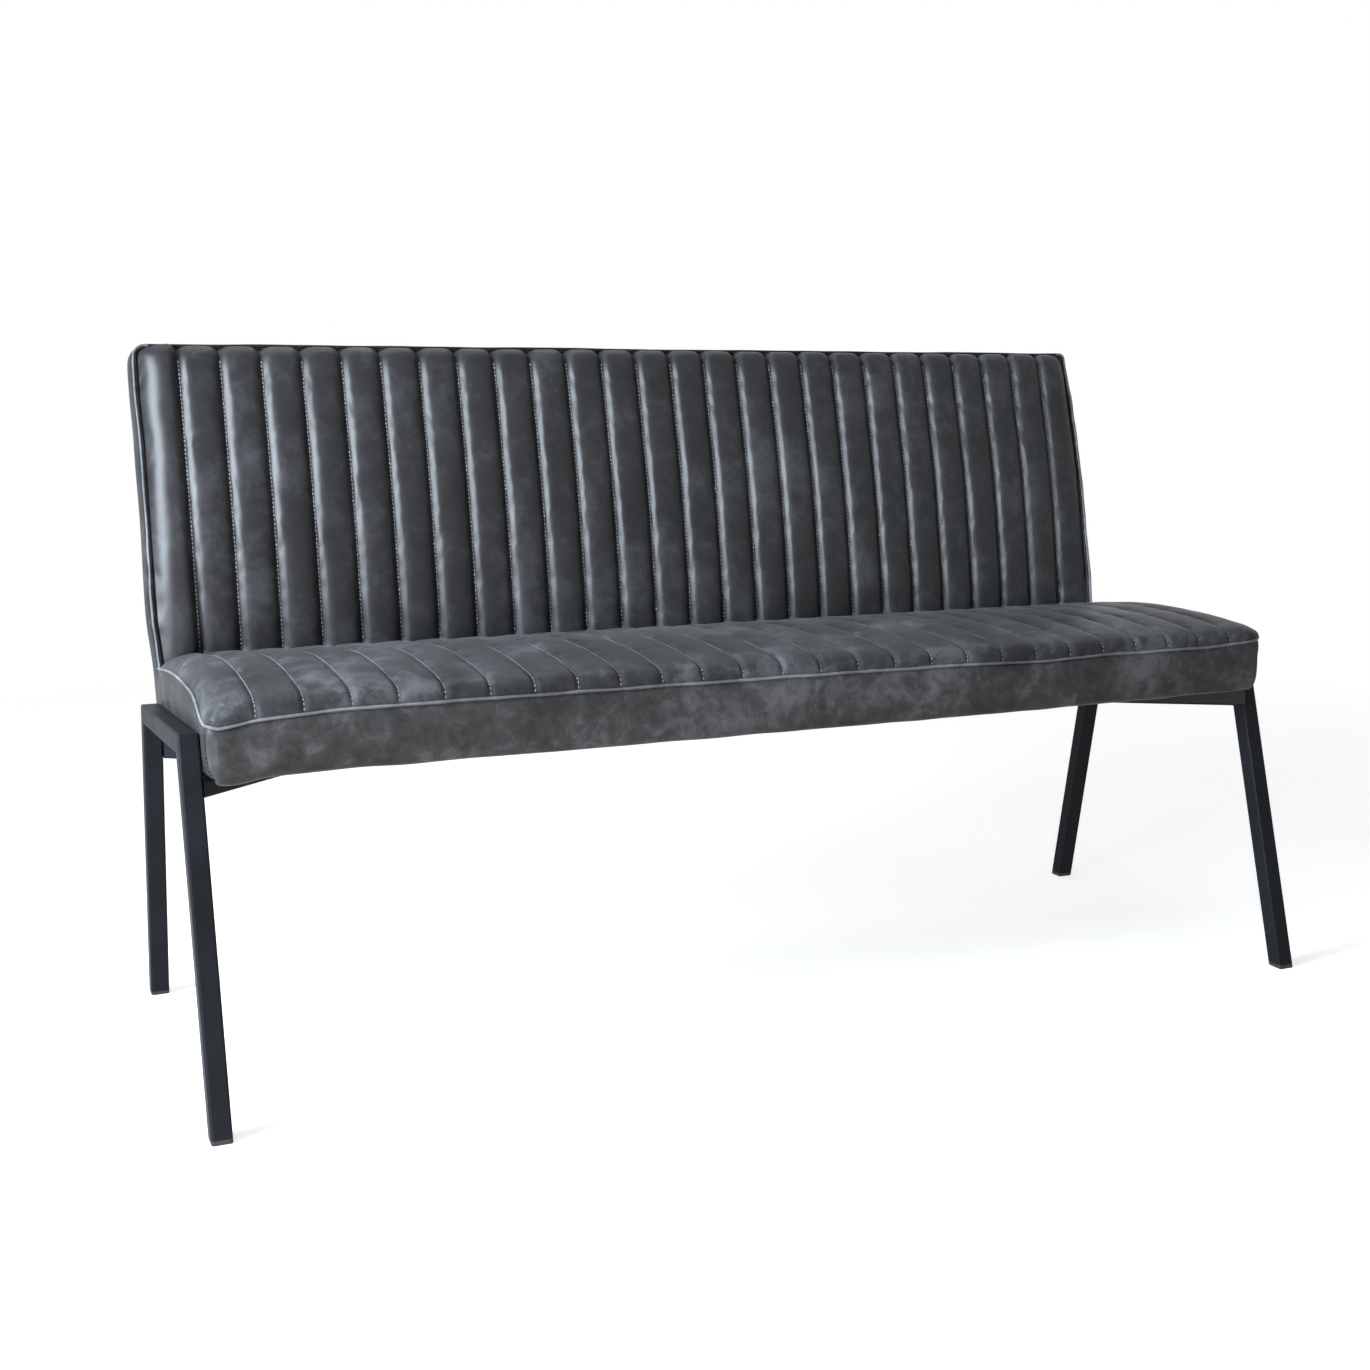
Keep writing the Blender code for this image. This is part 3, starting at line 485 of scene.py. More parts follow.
# The height of the welt along the front edge and back along both ends of the seat.
front_welt = smooth_through([
    (-0.756, 0.0120), (-0.742, 0.0085), (-0.715, 0.0122), (-0.700, 0.0150), (-0.647, 0.0189),
    (-0.600, 0.0215), (-0.300, 0.0225), (0.250, 0.0212), (0.370, 0.0188), (0.475, 0.0218),
    (0.650, 0.0220), (0.706, 0.0244), (0.742, 0.0265), (0.756, 0.0300),
])
left_welt = smooth_through([
    (-0.060, 0.0120), (-0.030, 0.0158), (-0.012, 0.0215), (0.006, 0.0300), (0.024, 0.0375),
    (0.060, 0.0435), (0.096, 0.0470), (0.151, 0.0510), (0.212, 0.0520), (0.340, 0.0475),
    (0.400, 0.0440),
])
right_welt = smooth_through([
    (-0.060, 0.0300), (-0.048, 0.0370), (-0.014, 0.0470), (0.040, 0.0535), (0.103, 0.0565),
    (0.200, 0.0580), (0.340, 0.0540), (0.400, 0.0500),
])
SEAT_PROFILE = [
    (-0.0600, 0.0220), (-0.0598, 0.0290), (-0.0565, 0.0372), (-0.0450, 0.0438), (-0.0250, 0.0489),
    (0.0205, 0.0572), (0.0802, 0.0647), (0.1500, 0.0696), (0.1900, 0.0700), (0.2602, 0.0677),
    (0.3200, 0.0636), (0.3460, 0.0582), (0.3570, 0.0480),
]


def channel_columns(half):
    """Places across a quilted sheet, close together beside each seam, and the seams' columns."""
    across = [channel + share for channel in range(CHANNELS) for share in ACROSS_CHANNEL]
    across = np.array([*across, CHANNELS])
    seams = (np.arange(CHANNELS + 1) - CHANNELS / 2) * CHANNEL
    seams[[0, -1]] = -half, half
    columns = range(len(ACROSS_CHANNEL), len(across) - 1, len(ACROSS_CHANNEL))
    return np.interp(across, np.arange(CHANNELS + 1), seams), columns


def lower_of(first, second):
    """The lower of two heights, with a soft turn where they meet."""
    return (first ** -7 + second ** -7) ** (-1 / 7)


def pillow(slope, puff):
    """Height across the sewn channels: an even slope from each seam, then a low crown."""
    share = np.array([*ACROSS_CHANNEL * CHANNELS, 0])
    from_seam = np.minimum(share, 1 - share)
    height = lower_of(np.maximum(slope * CHANNEL * from_seam, 1e-9), puff)
    half = share.tolist().index(0.5) + 1
    roll = puff * np.sin(math.pi * share[:half])
    height[:half] = roll
    height[-half:] = roll[::-1]
    return height


def above_rail(n):
    """0 beside the steel rail, and 1 above it."""
    return np.clip((n - 0.002) / 0.015, 0, 1)


def let_out(x, n):
    """The cover stands out a little above the right-hand rail."""
    return x + 0.0035 * np.clip((x - 0.70) / 0.055, 0, 1) ** 2 * above_rail(n)


x, seat_seams = channel_columns(SEAT_HALF)
s, n, run = path_through(SEAT_PROFILE, PROFILE_ROWS, crowd=1.25)
x_grid, s_grid = np.meshgrid(x, s)
n_grid = n[:, None] + (front_welt(x_grid) - n[0]) * np.exp(-run / FRONT_WELT_FADE)[:, None]
edge = np.where(x_grid < 0, left_welt(s_grid), right_welt(s_grid))
edge = np.minimum(edge, n_grid + WELT_OVER_TOP)
edge = np.where(run[:, None] < 1e-9, front_welt(x_grid), edge)
shoulder = quarter_round(SEAT_HALF - np.abs(x_grid), SEAT_SHOULDER)
n_grid = edge + (n_grid - edge) * shoulder
x_bent, s_bent = round_corner(x_grid, -s_grid, SEAT_HALF, -SEAT_FRONT, SEAT_CORNER)
seat_points = on_seat(let_out(x_bent, n_grid), -s_bent, n_grid)
puff = np.broadcast_to(pillow(SEAT_SLOPE, SEAT_PUFF), x_grid.shape)
puff = puff * (quarter_round(run, 0.022) * quarter_round(run[-1] - run, 0.03))[:, None]
puff *= 1 + 0.15 * wander(seat_points, 0.13, 3)
seat_points += outward(seat_points) * puff[..., None]

seat_top = quilted_sheet(
    "seat_quilted_cover", seat_points, seat_seams, slack=0.006, most=0.0016, seed=5,
)
seat_up = on_seat(0, 0, 1) - on_seat(0, 0, 0)
close_below(seat_top, Vector(seat_up), float(on_seat(0, 0, SEAT_BASE) @ seat_up))
seat_top.data.materials.append(leather)
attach(seat_top, "root")
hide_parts("seat_quilted_top")


# The stitching of the seat: pale grey thread, one lockstitch row down every channel seam.
# The stitches are 4 mm long, lie in the bottom of the seam and stop short of the welt.
def stitch_rows(name, lines, pitch, length, thickness, lift, seed):
    """A row of short rounded stitches along each (points, normals) line."""
    chance = np.random.default_rng(seed)
    sides = 5
    corner = np.linspace(0, 2 * math.pi, sides, endpoint=False)
    ring = np.stack([np.zeros(sides), np.cos(corner), np.sin(corner)], -1)
    one = np.concatenate([
        [[-0.5, 0, 0]], ring + (-0.33, 0, 0), ring + (0.33, 0, 0), [[0.5, 0, 0]],
    ])
    near, far, tip = 1, 1 + sides, 1 + 2 * sides
    turns = [(k, (k + 1) % sides) for k in range(sides)]
    faces = [(0, near + after, near + k) for k, after in turns]
    faces += [(near + k, near + after, far + after, far + k) for k, after in turns]
    faces += [(far + k, far + after, tip) for k, after in turns]
    stitches = []
    for points, normals in lines:
        along = lengths_along(points)
        at = (np.arange(int(along[-1] / pitch)) + 0.5) * pitch

        def read(values, place):
            return np.stack([np.interp(place, along, values[:, k]) for k in range(3)], -1)

        way = read(points, at + length / 2) - read(points, at - length / 2)
        way /= np.linalg.norm(way, axis=-1, keepdims=True)
        up = read(normals, at)
        side = np.cross(up, way)
        way = way + side * chance.normal(0, 0.05, (len(at), 1))
        centre = read(points, at) + up * lift
        stitches.append(
            centre[:, None] + one[None, :, :1] * way[:, None] * length
            + one[None, :, 1:2] * side[:, None] * thickness
            + one[None, :, 2:] * up[:, None] * thickness * 0.8
        )
    places = np.concatenate(stitches)
    count, corners, _ = places.shape
    rows = new_piece(name, places, [
        tuple(corners * k + corner for corner in face) for k in range(count) for face in faces
    ])
    rows.data.shade_smooth()
    return rows


def spun_thread(name, deep, pale):
    thread, shader = new_finish(name, 0.62, specular=0.2)
    twist = noise(thread, on_object(thread), scale=900, detail=3, roughness=0.6, distortion=1.0)
    tint(thread, shader, twist, (0.32, deep), (0.68, pale))
    rough_up(thread, shader, (twist, 0.0002, 0.6))
    return thread


thread = spun_thread("pale_grey_thread", (0.17, 0.173, 0.180), (0.29, 0.295, 0.310))
seat_normals = outward(seat_points)
seat_rows = [(seat_points[1:-1, seam], seat_normals[1:-1, seam]) for seam in seat_seams]
seat_stitching = stitch_rows(
    "seat_stitching", seat_rows,
    pitch=0.0058, length=0.0042, thickness=0.0007, lift=0.0003, seed=21,
)
seat_stitching.data.materials.append(thread)
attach(seat_stitching, "root")


# The front border: one long band of leather between the seat welt and the underside of the seat.
# It is sewn to the welt, drawn down over the front of the foam, and stapled under the board.
# Black thread closes the seam at each front corner, where it meets the side panel.
SIDE_X = 0.7555
CORNER_S = -0.046
CORNER_ROUND = 0.0135
CORNER_SEAM = math.radians(20)
LOW_CORNER_ROUNDS = (0.8, 0.1)
BORDER_LOW, BORDER_HIGH = -0.0514, 0.0203
BORDER_UNDER_WELT = 0.0012
BORDER_TUCK = 0.012
# The border's copy of the leather is lighter and warmer than the seat's: painted light from the
# front.
border_leather_painted_light = waxed_leather(
    "border_painted_light_leather",
    (0.0280, 0.0270, 0.0268), (0.0480, 0.0468, 0.0472), (0.1050, 0.1040, 0.1060),
)
border_bottom = smooth_through([
    (-0.756, -0.0570), (-0.742, -0.0585), (-0.730, -0.0590), (-0.720, -0.0583), (-0.7025, -0.0560),
    (-0.689, -0.0534), (-0.660, -0.0521), (-0.600, -0.0514), (0.0, -0.0514), (0.500, -0.0495),
    (0.756, -0.0470),
])


def cover_panel(name, points, finish, nodes):
    panel = sheet_of(name, points)
    refine(panel, thickness=0.0030)
    panel.data.materials.append(finish)
    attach(panel, "root")
    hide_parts(*nodes)


def round_corner_of_seat(side, angles, reach=CORNER_ROUND):
    """Places round a front corner of the seat, at angles that grow from its end to its front.

    Each place has x, s, the direction outward in x and s, and the height of the welt.
    """
    welt = left_welt if side < 0 else right_welt
    places = []
    for angle in angles:
        x = side * (SIDE_X - CORNER_ROUND + CORNER_ROUND * math.cos(angle))
        s = CORNER_S - reach * math.sin(angle)
        share = angle / (math.pi / 2)
        top = float(welt(s)) * (1 - share) + float(front_welt(x)) * share
        places.append((x, s, side * math.cos(angle), -math.sin(angle), top))
    return places


turn = np.linspace(CORNER_SEAM, math.pi / 2, 9)
straight = np.linspace(-SIDE_X + CORNER_ROUND, SIDE_X - CORNER_ROUND, 124)[1:-1]
x, s, out_x, out_s, top = np.array([
    *round_corner_of_seat(-1, turn),
    *((x, CORNER_S - CORNER_ROUND, 0, -1, float(front_welt(x))) for x in straight),
    *round_corner_of_seat(1, turn)[::-1],
]).T
plain_o, plain_n, run = path_through([
    (-0.0470, -0.0497), (-0.0300, -0.0507), (-0.0150, BORDER_LOW), (-0.0080, -0.0500),
    (-0.0022, -0.0440), (0.0012, -0.0300), (0.0020, -0.0080), (0.0014, 0.0100),
    (-0.0012, BORDER_HIGH),
], 30)
corner_o, corner_n, _ = path_through([
    (-0.0470, -0.0497), (-0.0300, -0.0507), (-0.0210, -0.0502), (-0.0150, -0.0472),
    (-0.0080, -0.0400), (-0.0015, -0.0260), (0.0008, -0.0080), (0.0010, 0.0100),
    (-0.0012, BORDER_HIGH),
], 30)
rounded = np.clip((np.abs(x) - 0.735) / 0.0195, 0, 1) * np.where(x < 0, *LOW_CORNER_ROUNDS)
o = plain_o[:, None] + (corner_o - plain_o)[:, None] * rounded
n = plain_n[:, None] + (corner_n - plain_n)[:, None] * rounded
low = border_bottom(x)
n = low + (n - BORDER_LOW) * (top - BORDER_UNDER_WELT - low) / (BORDER_HIGH - BORDER_LOW)
shallow = np.maximum(o, -BORDER_TUCK)
border_points = on_seat(
    let_out(x + out_x * shallow, n), s + out_s * shallow - np.minimum(o + BORDER_TUCK, 0), n,
)
held = np.sin(np.clip(run / run[-1], 0, 1) * math.pi)[:, None]
slack = 0.0011 * held * wander(border_points, 0.10, 31)
border_points += outward(border_points) * slack[..., None]
cover_panel("seat_front_band", border_points, border_leather_painted_light, ["seat_front_border"])

dark_thread = spun_thread("black_thread", (0.003, 0.003, 0.0035), (0.008, 0.008, 0.009))
border_normals = outward(border_points)
corner_rows = [(border_points[9:-1, end], border_normals[9:-1, end]) for end in (0, -1)]
corner_stitching = stitch_rows(
    "corner_seam_stitching", corner_rows,
    pitch=0.0052, length=0.0030, thickness=0.0007, lift=0.0004, seed=23,
)
corner_stitching.data.materials.append(dark_thread)
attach(corner_stitching, "root")


# The back front: leather quilted like the seat, with seams that line up with those of the seat.
# It bows forward in the middle of its height, rolls back to the welt at its top and sides, and
# tucks in behind the seat. It is glossier than the seat, and its colours are darker than the
# seat's: painted shade on the upright back.
LEAN = math.radians(10.4)
BACK_S, BACK_N = 0.350, 0.0656
BACK_HALF = 0.7505
BACK_TOP = 0.4205
BACK_PUFF = 0.0096
BACK_SHOULDER = 0.048
LEFT_BEVEL = 0.0505
BACK_RIM = 0.0085
BACK_BASE = 0.0200
RIGHT_SLOPE = 0.85
EDGE_PUFF, EDGE_ROLL, EDGE_SLOPE = 0.014, 0.65, 1.6
TOP_ROUND = (0.014, 0.008)
TOP_SEAM = 0.4245
BACK_PROFILE = [
    (0.0090, -0.0185), (0.0100, -0.0020), (0.0078, 0.0180), (0.0042, 0.0450), (0.0008, 0.0800),
    (-0.0036, 0.1300), (-0.0066, 0.1810), (-0.0088, 0.2400), (-0.0092, 0.3000), (-0.0088, 0.3500),
    (-0.0080, 0.3850), (-0.0058, 0.4040), (-0.0005, 0.4150), (0.0090, BACK_TOP),
]
left_bow = smooth_through([
    (0.0, 0.0030), (0.06, 0.0042), (0.15, 0.0030), (0.28, 0.0018), (0.36, 0.0034), (0.40, 0.0030),
    (TOP_SEAM, 0.0012),
])
right_bow = smooth_through([
    (0.0, 0.0035), (0.06, 0.0045), (0.15, 0.0075), (0.24, 0.0088), (0.33, 0.0064),
    (TOP_SEAM, 0.0054),
])


def bow_out(x, h):
    """The sides of the back are not quite straight: the stuffing pushes them out."""
    reach = np.where(x < 0, left_bow(h), right_bow(h)) * np.clip((h + 0.02) / 0.06, 0, 1)
    return x + np.sign(x) * reach * np.clip((np.abs(x) - 0.70) / 0.05, 0, 1) ** 2


def forward(x, h):
    """The right edge of the back is sewn further forward than the left one, except near its top."""
    near_top = np.clip((h - 0.35) / 0.06, 0, 1)
    return 0.0095 * np.clip((x - 0.69) / 0.055, 0, 1) ** 2 * (1 - 0.75 * near_top)


def lean_back(d, h):
    """The seat's s and n of places on the back: d behind its seams, h up its front."""
    s = BACK_S + d * math.cos(LEAN) + h * math.sin(LEAN)
    n = BACK_N - d * math.sin(LEAN) + h * math.cos(LEAN)
    return s, n


def on_back(x, d, h):
    return on_seat(x, *lean_back(d, h))


# The profile is read from the top down, because its rows crowd towards the top.
x, back_seams = channel_columns(BACK_HALF)
d, h, run = path_through(BACK_PROFILE[::-1], PROFILE_ROWS, crowd=1.15)
d, h, run = d[::-1], h[::-1], run[::-1]
x_grid, h_grid = np.meshgrid(x, h)
shoulder = quarter_round(BACK_HALF - np.abs(x_grid), BACK_SHOULDER)
bevel = np.clip((BACK_HALF + x_grid) / LEFT_BEVEL, 0, 1)
shoulder = np.where(x_grid < 0, bevel, shoulder)
rim = BACK_RIM - forward(x_grid, h_grid)
d_grid = rim + (d[:, None] - rim) * shoulder
h_grid = h_grid - 0.024 * (1 - shoulder) * np.clip(1 - (h_grid + 0.014) / 0.12, 0, 1)
top_radius = np.where(x_grid < 0, *TOP_ROUND)
x_bent, h_bent = round_corner(x_grid, h_grid, BACK_HALF, BACK_TOP, top_radius)
back_points = on_back(bow_out(x_bent, h_bent), d_grid, h_bent)

# The slopes that face left grow steeper towards the right, and the first channel is a wide roll.
facing_left = np.array([*ACROSS_CHANNEL * CHANNELS, 0]) < 0.5
slope = np.where(facing_left, np.clip(1.05 + 0.55 * x, 0.76, 1.16), RIGHT_SLOPE)
puff = pillow(slope, BACK_PUFF)
share = np.maximum(ACROSS_CHANNEL, 1e-6)
edge_roll = EDGE_PUFF * (1 - np.clip(1 - share / EDGE_ROLL, 0, 1) ** 2)
puff[:len(share)] = lower_of(edge_roll, EDGE_SLOPE * CHANNEL * (1 - share))
puff = np.broadcast_to(puff, x_grid.shape)
puff = puff * (quarter_round(run, 0.020) * quarter_round(run[0] - run, 0.03))[:, None]
puff *= 1 + 0.05 * wander(back_points, 0.16, 8)
back_points += outward(back_points) * puff[..., None]

back_front = quilted_sheet(
    "back_quilted_cover", back_points, back_seams, slack=0.005, most=0.0008, seed=6,
)
to_front = on_back(0, -1, 0) - on_back(0, 0, 0)
close_below(back_front, Vector(to_front), float(on_back(0, BACK_BASE, 0) @ to_front))
# The back's copy of the leather has darker colours than the seat's: painted shade.
back_leather_painted_shade = waxed_leather(
    "glossy_back_painted_shade_leather",
    (0.0130, 0.0126, 0.0132), (0.0208, 0.0208, 0.0222), (0.0485, 0.0494, 0.0535),
    gloss=0.32, cloudy=(0.36, 0.66), pebble=0.10,
)
back_front.data.materials.append(back_leather_painted_shade)
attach(back_front, "root")
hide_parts("back_quilted_front")


# The stitching of the back: one row in each of its seams, in the same stitch as on the seat but
# with a thicker thread, paler than the seat's as a painted highlight along the seams. The rows run
# from the roll under the top welt down into the crease behind the seat.
# The back thread is paler than the seat's thread: painted highlight along the seams.
painted_highlight_thread = spun_thread("grey_thread_with_painted_highlight", (0.27, 0.274, 0.285), (0.42, 0.427, 0.445))
back_normals = outward(back_points)
back_rows = [(back_points[1:-5, seam], back_normals[1:-5, seam]) for seam in back_seams]
back_stitching = stitch_rows(
    "back_stitching", back_rows,
    pitch=0.0058, length=0.0043, thickness=0.0010, lift=0.0009, seed=22,
)
back_stitching.data.materials.append(painted_highlight_thread)
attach(back_stitching, "root")


# The side panels: at each end one L-shaped piece of leather over the end of the seat and the edge
# of the back. It is sewn to the welts, drawn round the rear edge and under the board, and lies just
# inside the steel rail.
HEEL = 0.045
UNDERSIDE = -0.0500
PANEL_SEAM, PANEL_REAR = 0.008, 0.0762
CREASE_S = 0.352
CREASE_UP, CREASE_ALONG = 0.030, 0.035
left_bottom = smooth_through([
    (-0.060, -0.0572), (-0.046, -0.0570), (-0.020, -0.0560), (0.010, -0.0545), (0.060, -0.0520),
    (0.330, UNDERSIDE),
])
right_bottom = smooth_through([(-0.060, -0.0470), (0.330, UNDERSIDE)])

# Sections from the tuck at the outer edge to the welt: share of the way there, lift off the panel,
# and how far beyond the outer edge.
PLAIN_SECTION = np.array([
    (0, -0.0280, -0.0012), (0, -0.0160, 0.0), (0, -0.0095, -0.0003), (0, -0.0050, -0.0018),
    (0, -0.0016, -0.0054), (0, 0.0, -0.0110), (0.26, 0.0016, 0), (0.40, 0.0028, 0),
    (0.55, 0.0034, 0), (0.70, 0.0032, 0), (0.82, 0.0024, 0), (0.91, 0.0012, 0),
    (0.97, -0.0002, 0), (1.0, -0.0026, 0),
])
CORNER_SECTION = np.array([
    (0, -0.0300, -0.0012), (0, -0.0210, -0.0020), (0, -0.0150, -0.0050), (0, -0.0085, -0.0115),
    (0, -0.0035, -0.0190), (0, -0.0006, -0.0270), (0.48, 0.0008, 0), (0.56, 0.0012, 0),
    (0.66, 0.0014, 0), (0.77, 0.0014, 0), (0.86, 0.0010, 0), (0.93, 0.0004, 0),
    (0.98, -0.0006, 0), (1.0, -0.0026, 0),
])
RUFFLE_SHARE = np.array([0, 0, 0, 0, 0, 0, 0.5, 1, 1, 1, 1, 0.6, 0.2, 0])


def height_on_back(d, n):
    return (n - BACK_N + d * math.sin(LEAN)) / math.cos(LEAN)


def heel_centre(rear):
    """The h and s of the middle of the heel's curve, for a rear face at depth rear."""
    h = height_on_back(rear - HEEL, UNDERSIDE + HEEL)
    return h, lean_back(rear - HEEL, h)[0]


def ease(share):
    return share * share * (3 - 2 * share)


def side_stations(side):
    """Stations round a side panel, from the top of the back down and on to the front corner.

    Each has its places at the welt and at the outer edge, the directions outward and to that
    edge, and how much the edge is rounded.
    """
    welt, low = (left_welt, left_bottom) if side < 0 else (right_welt, right_bottom)
    rear_way = (0, math.cos(LEAN), -math.sin(LEAN))
    crease_h = height_on_back(PANEL_SEAM, float(welt(CREASE_S)))
    crease_s = lean_back(PANEL_SEAM, crease_h)[0]
    heel_h, heel_s = heel_centre(PANEL_REAR)
    radius = TOP_ROUND[side > 0]
    corner_h = TOP_SEAM - radius
    stations = []
    for angle in np.linspace(0, math.pi / 2, 8):
        x = SIDE_X - radius + radius * math.sin(angle)
        h = corner_h + radius * math.cos(angle)
        up = math.cos(angle)
        out = (math.sin(angle), up * math.sin(LEAN), up * math.cos(LEAN))
        inner, outer = lean_back(PANEL_SEAM, h), lean_back(PANEL_REAR, h)
        stations.append(((x, *inner), (x, *outer), out, rear_way, 1 + up))
    for share in np.linspace(0, 1, 32)[1:]:
        inner = lean_back(PANEL_SEAM, corner_h + (crease_h + CREASE_UP - corner_h) * share)
        outer = lean_back(PANEL_REAR, corner_h + (heel_h - corner_h) * share)
        stations.append(((SIDE_X, *inner), (SIDE_X, *outer), (1, 0, 0), rear_way, 1))
    for share in np.linspace(0, 1, 17)[1:]:
        if share <= 0.5:
            inner = lean_back(PANEL_SEAM, crease_h + CREASE_UP * (1 - 2 * share))
        else:
            s = crease_s - CREASE_ALONG * (2 * share - 1)
            inner = (s, float(welt(s)))
        turn = -LEAN + (LEAN - math.pi / 2) * share
        way = (0, math.cos(turn), math.sin(turn))
        outer = (heel_s + HEEL * way[1], UNDERSIDE + HEEL + HEEL * way[2])
        stations.append(((SIDE_X, *inner), (SIDE_X, *outer), (1, 0, 0), way, 1))
    for share in np.linspace(0, 1, 34)[1:]:
        s = crease_s - CREASE_ALONG + (CORNER_S - crease_s + CREASE_ALONG) * share
        below = heel_s + (CORNER_S - heel_s) * share
        inner, outer = (SIDE_X, s, float(welt(s))), (SIDE_X, below, float(low(below)))
        stations.append((inner, outer, (1, 0, 0), (0, 0, -1), 1))
    for x, s, out_x, out_s, top in round_corner_of_seat(side, np.linspace(0, CORNER_SEAM, 4)[1:]):
        inner, outer = (side * x, s, top), (side * x, s, float(low(s)))
        stations.append((inner, outer, (side * out_x, out_s, 0), (0, 0, -1), 1))
    return [np.array(column, float) for column in zip(*stations)]


def side_panel_points(side):
    inner, outer, out, way, roundness = side_stations(side)
    rounded = np.clip((0.010 - outer[:, 1]) / 0.060, 0, 1) * LOW_CORNER_ROUNDS[side > 0]
    section = PLAIN_SECTION + (CORNER_SECTION - PLAIN_SECTION) * ease(rounded)[:, None, None]
    share, lift, beyond = (section[..., k, None] for k in range(3))
    scale = np.where(share == 0, roundness[:, None, None], 1)
    points = outer[:, None] + (inner - outer)[:, None] * share + way[:, None] * beyond * scale
    points = points + out[:, None] * np.minimum(lift, 0) * scale
    points = points + out[:, None] * np.maximum(lift, 0) * above_rail(points[..., 2:])
    ruffle = wander(points, 0.09, 41 if side < 0 else 42)
    free = above_rail(points[..., 2]) * RUFFLE_SHARE
    points += out[:, None] * (0.0010 * ruffle * free)[..., None]
    x, s, n = side * points[..., 0], points[..., 1], points[..., 2]
    up_back = (s - BACK_S) * math.sin(LEAN) + (n - BACK_N) * math.cos(LEAN)
    behind = np.clip((s - 0.28) / 0.07, 0, 1)
    x = let_out(x, n) * (1 - behind) + bow_out(x, up_back) * behind
    placed = on_seat(x, s, n)
    return placed[:, ::-1] if side < 0 else placed


# The end panels' copy of the leather has darker colours than the seat's: painted shade that holds
# down the window light on the ends.
side_leather_painted_shade = waxed_leather(
    "side_panel_painted_shade_leather",
    (0.0135, 0.0132, 0.0138), (0.0240, 0.0242, 0.0256), (0.0560, 0.0575, 0.0620), gloss=0.08,
)
for name, side in (("left", -1), ("right", 1)):
    points = side_panel_points(side)
    cover_panel(f"{name}_end_panel", points, side_leather_painted_shade, [f"{name}_side_panel"])


# The top border and the rear cover: a narrow band along the top of the back, and one large plain
# panel over the rear wadding, which goes round the heel and is stapled under the board.
BAND_LEFT, BAND_RIGHT = -0.7440, 0.7480
BAND_H, BAND_WIDTH = 0.4236, 0.0500
REAR_HALF = 0.7480
REAR_DEPTH = 0.0767
REAR_TUCK = 0.036
REAR_TOP, REAR_TOP_D = 0.4030, 0.0547
x_grid, share = np.meshgrid(np.linspace(BAND_LEFT, BAND_RIGHT, 108), np.linspace(0, 1, 9))
crown = np.sin(share * math.pi)
h_grid = BAND_H + 0.0018 * crown
top_points = on_back(bow_out(x_grid, h_grid), BACK_RIM + BAND_WIDTH * share, h_grid)
top_points += outward(top_points) * (0.0008 * crown * wander(top_points, 0.07, 51))[..., None]
cover_panel("back_top_band", top_points, leather, ["back_top_border"])

heel_h, heel_s = heel_centre(REAR_DEPTH)
profile = [(s, UNDERSIDE) for s in np.linspace(heel_s - REAR_TUCK, heel_s, 6)]
for turn in np.linspace(-math.pi / 2, -LEAN, 12)[1:]:
    profile.append((heel_s + HEEL * math.cos(turn), UNDERSIDE + HEEL + HEEL * math.sin(turn)))
profile += [lean_back(REAR_DEPTH, h) for h in np.linspace(heel_h, REAR_TOP, 34)[1:]]
for turn in np.linspace(0, math.pi / 2, 9)[1:]:
    d, h = REAR_TOP_D + 0.022 * math.cos(turn), REAR_TOP + 0.0225 * math.sin(turn)
    profile.append(lean_back(d, h))
profile = np.array(profile)
x_grid, row = np.meshgrid(np.linspace(REAR_HALF, -REAR_HALF, 90), np.arange(len(profile)))
rear_points = on_seat(x_grid, profile[row, 0], profile[row, 1])
full = np.clip((row - 8) / 10, 0, 1) * np.clip((len(profile) - 6 - row) / 10, 0, 1)
full = ease(full) * quarter_round(REAR_HALF - np.abs(x_grid), 0.12)
loose = 0.0030 + 0.0012 * wander(rear_points, 0.22, 61) + 0.0005 * wander(rear_points, 0.06, 62)
rear_points += outward(rear_points) * (full * loose + 0.0006)[..., None]
cover_panel("back_rear_panel", rear_points, leather, ["back_rear_cover"])


# The seat welt: leather folded round a cord, sewn into the seam round the front and both ends of
# the seat. It starts and ends in the crease behind the seat. Its paler grey is partly wear on the
# fold and partly a painted highlight on its rounded top.
WELT_SIDES = 10
WELT_REACH = 0.0146
WELT_REAR = 0.356


def piping(name, path, radius, sides=WELT_SIDES):
    """A round welt along a path, with closed ends."""
    way = np.gradient(path, axis=0)
    way /= np.linalg.norm(way, axis=-1, keepdims=True)
    side = np.zeros_like(path)
    last = np.cross(way[0], (0.0, 0.0, 1.0))
    for k in range(len(path)):
        last = last - way[k] * last.dot(way[k])
        last /= np.linalg.norm(last)
        side[k] = last
    up = np.cross(side, way)
    angle = np.linspace(0, 2 * math.pi, sides, endpoint=False)[None, :, None]
    ring = side[:, None] * np.cos(angle) + up[:, None] * np.sin(angle)
    radius = np.broadcast_to(radius, len(path))[:, None, None]
    cord = stack_of_rings(name, path[:, None] + ring * radius)
    cord.data.shade_smooth()
    return cord


def along_seat_edge():
    """The seam line as x, s and n: forward along the left end, along the front, and back."""
    along_end = np.linspace(WELT_REAR, CORNER_S, 100)
    turn = np.linspace(0, math.pi / 2, 9)
    front_half = SIDE_X - CORNER_ROUND
    along_front = np.linspace(-front_half, front_half, 370)

    def corner(side, angles):
        places = round_corner_of_seat(side, angles, WELT_REACH)
        return [(x, s, top) for x, s, _, _, top in places]

    return np.array([
        *((-SIDE_X, s, float(left_welt(s))) for s in along_end),
        *corner(-1, turn[1:]),
        *((x, CORNER_S - WELT_REACH, float(front_welt(x))) for x in along_front[1:]),
        *corner(1, turn[-2::-1]),
        *((SIDE_X, s, float(right_welt(s))) for s in along_end[-2::-1]),
    ])


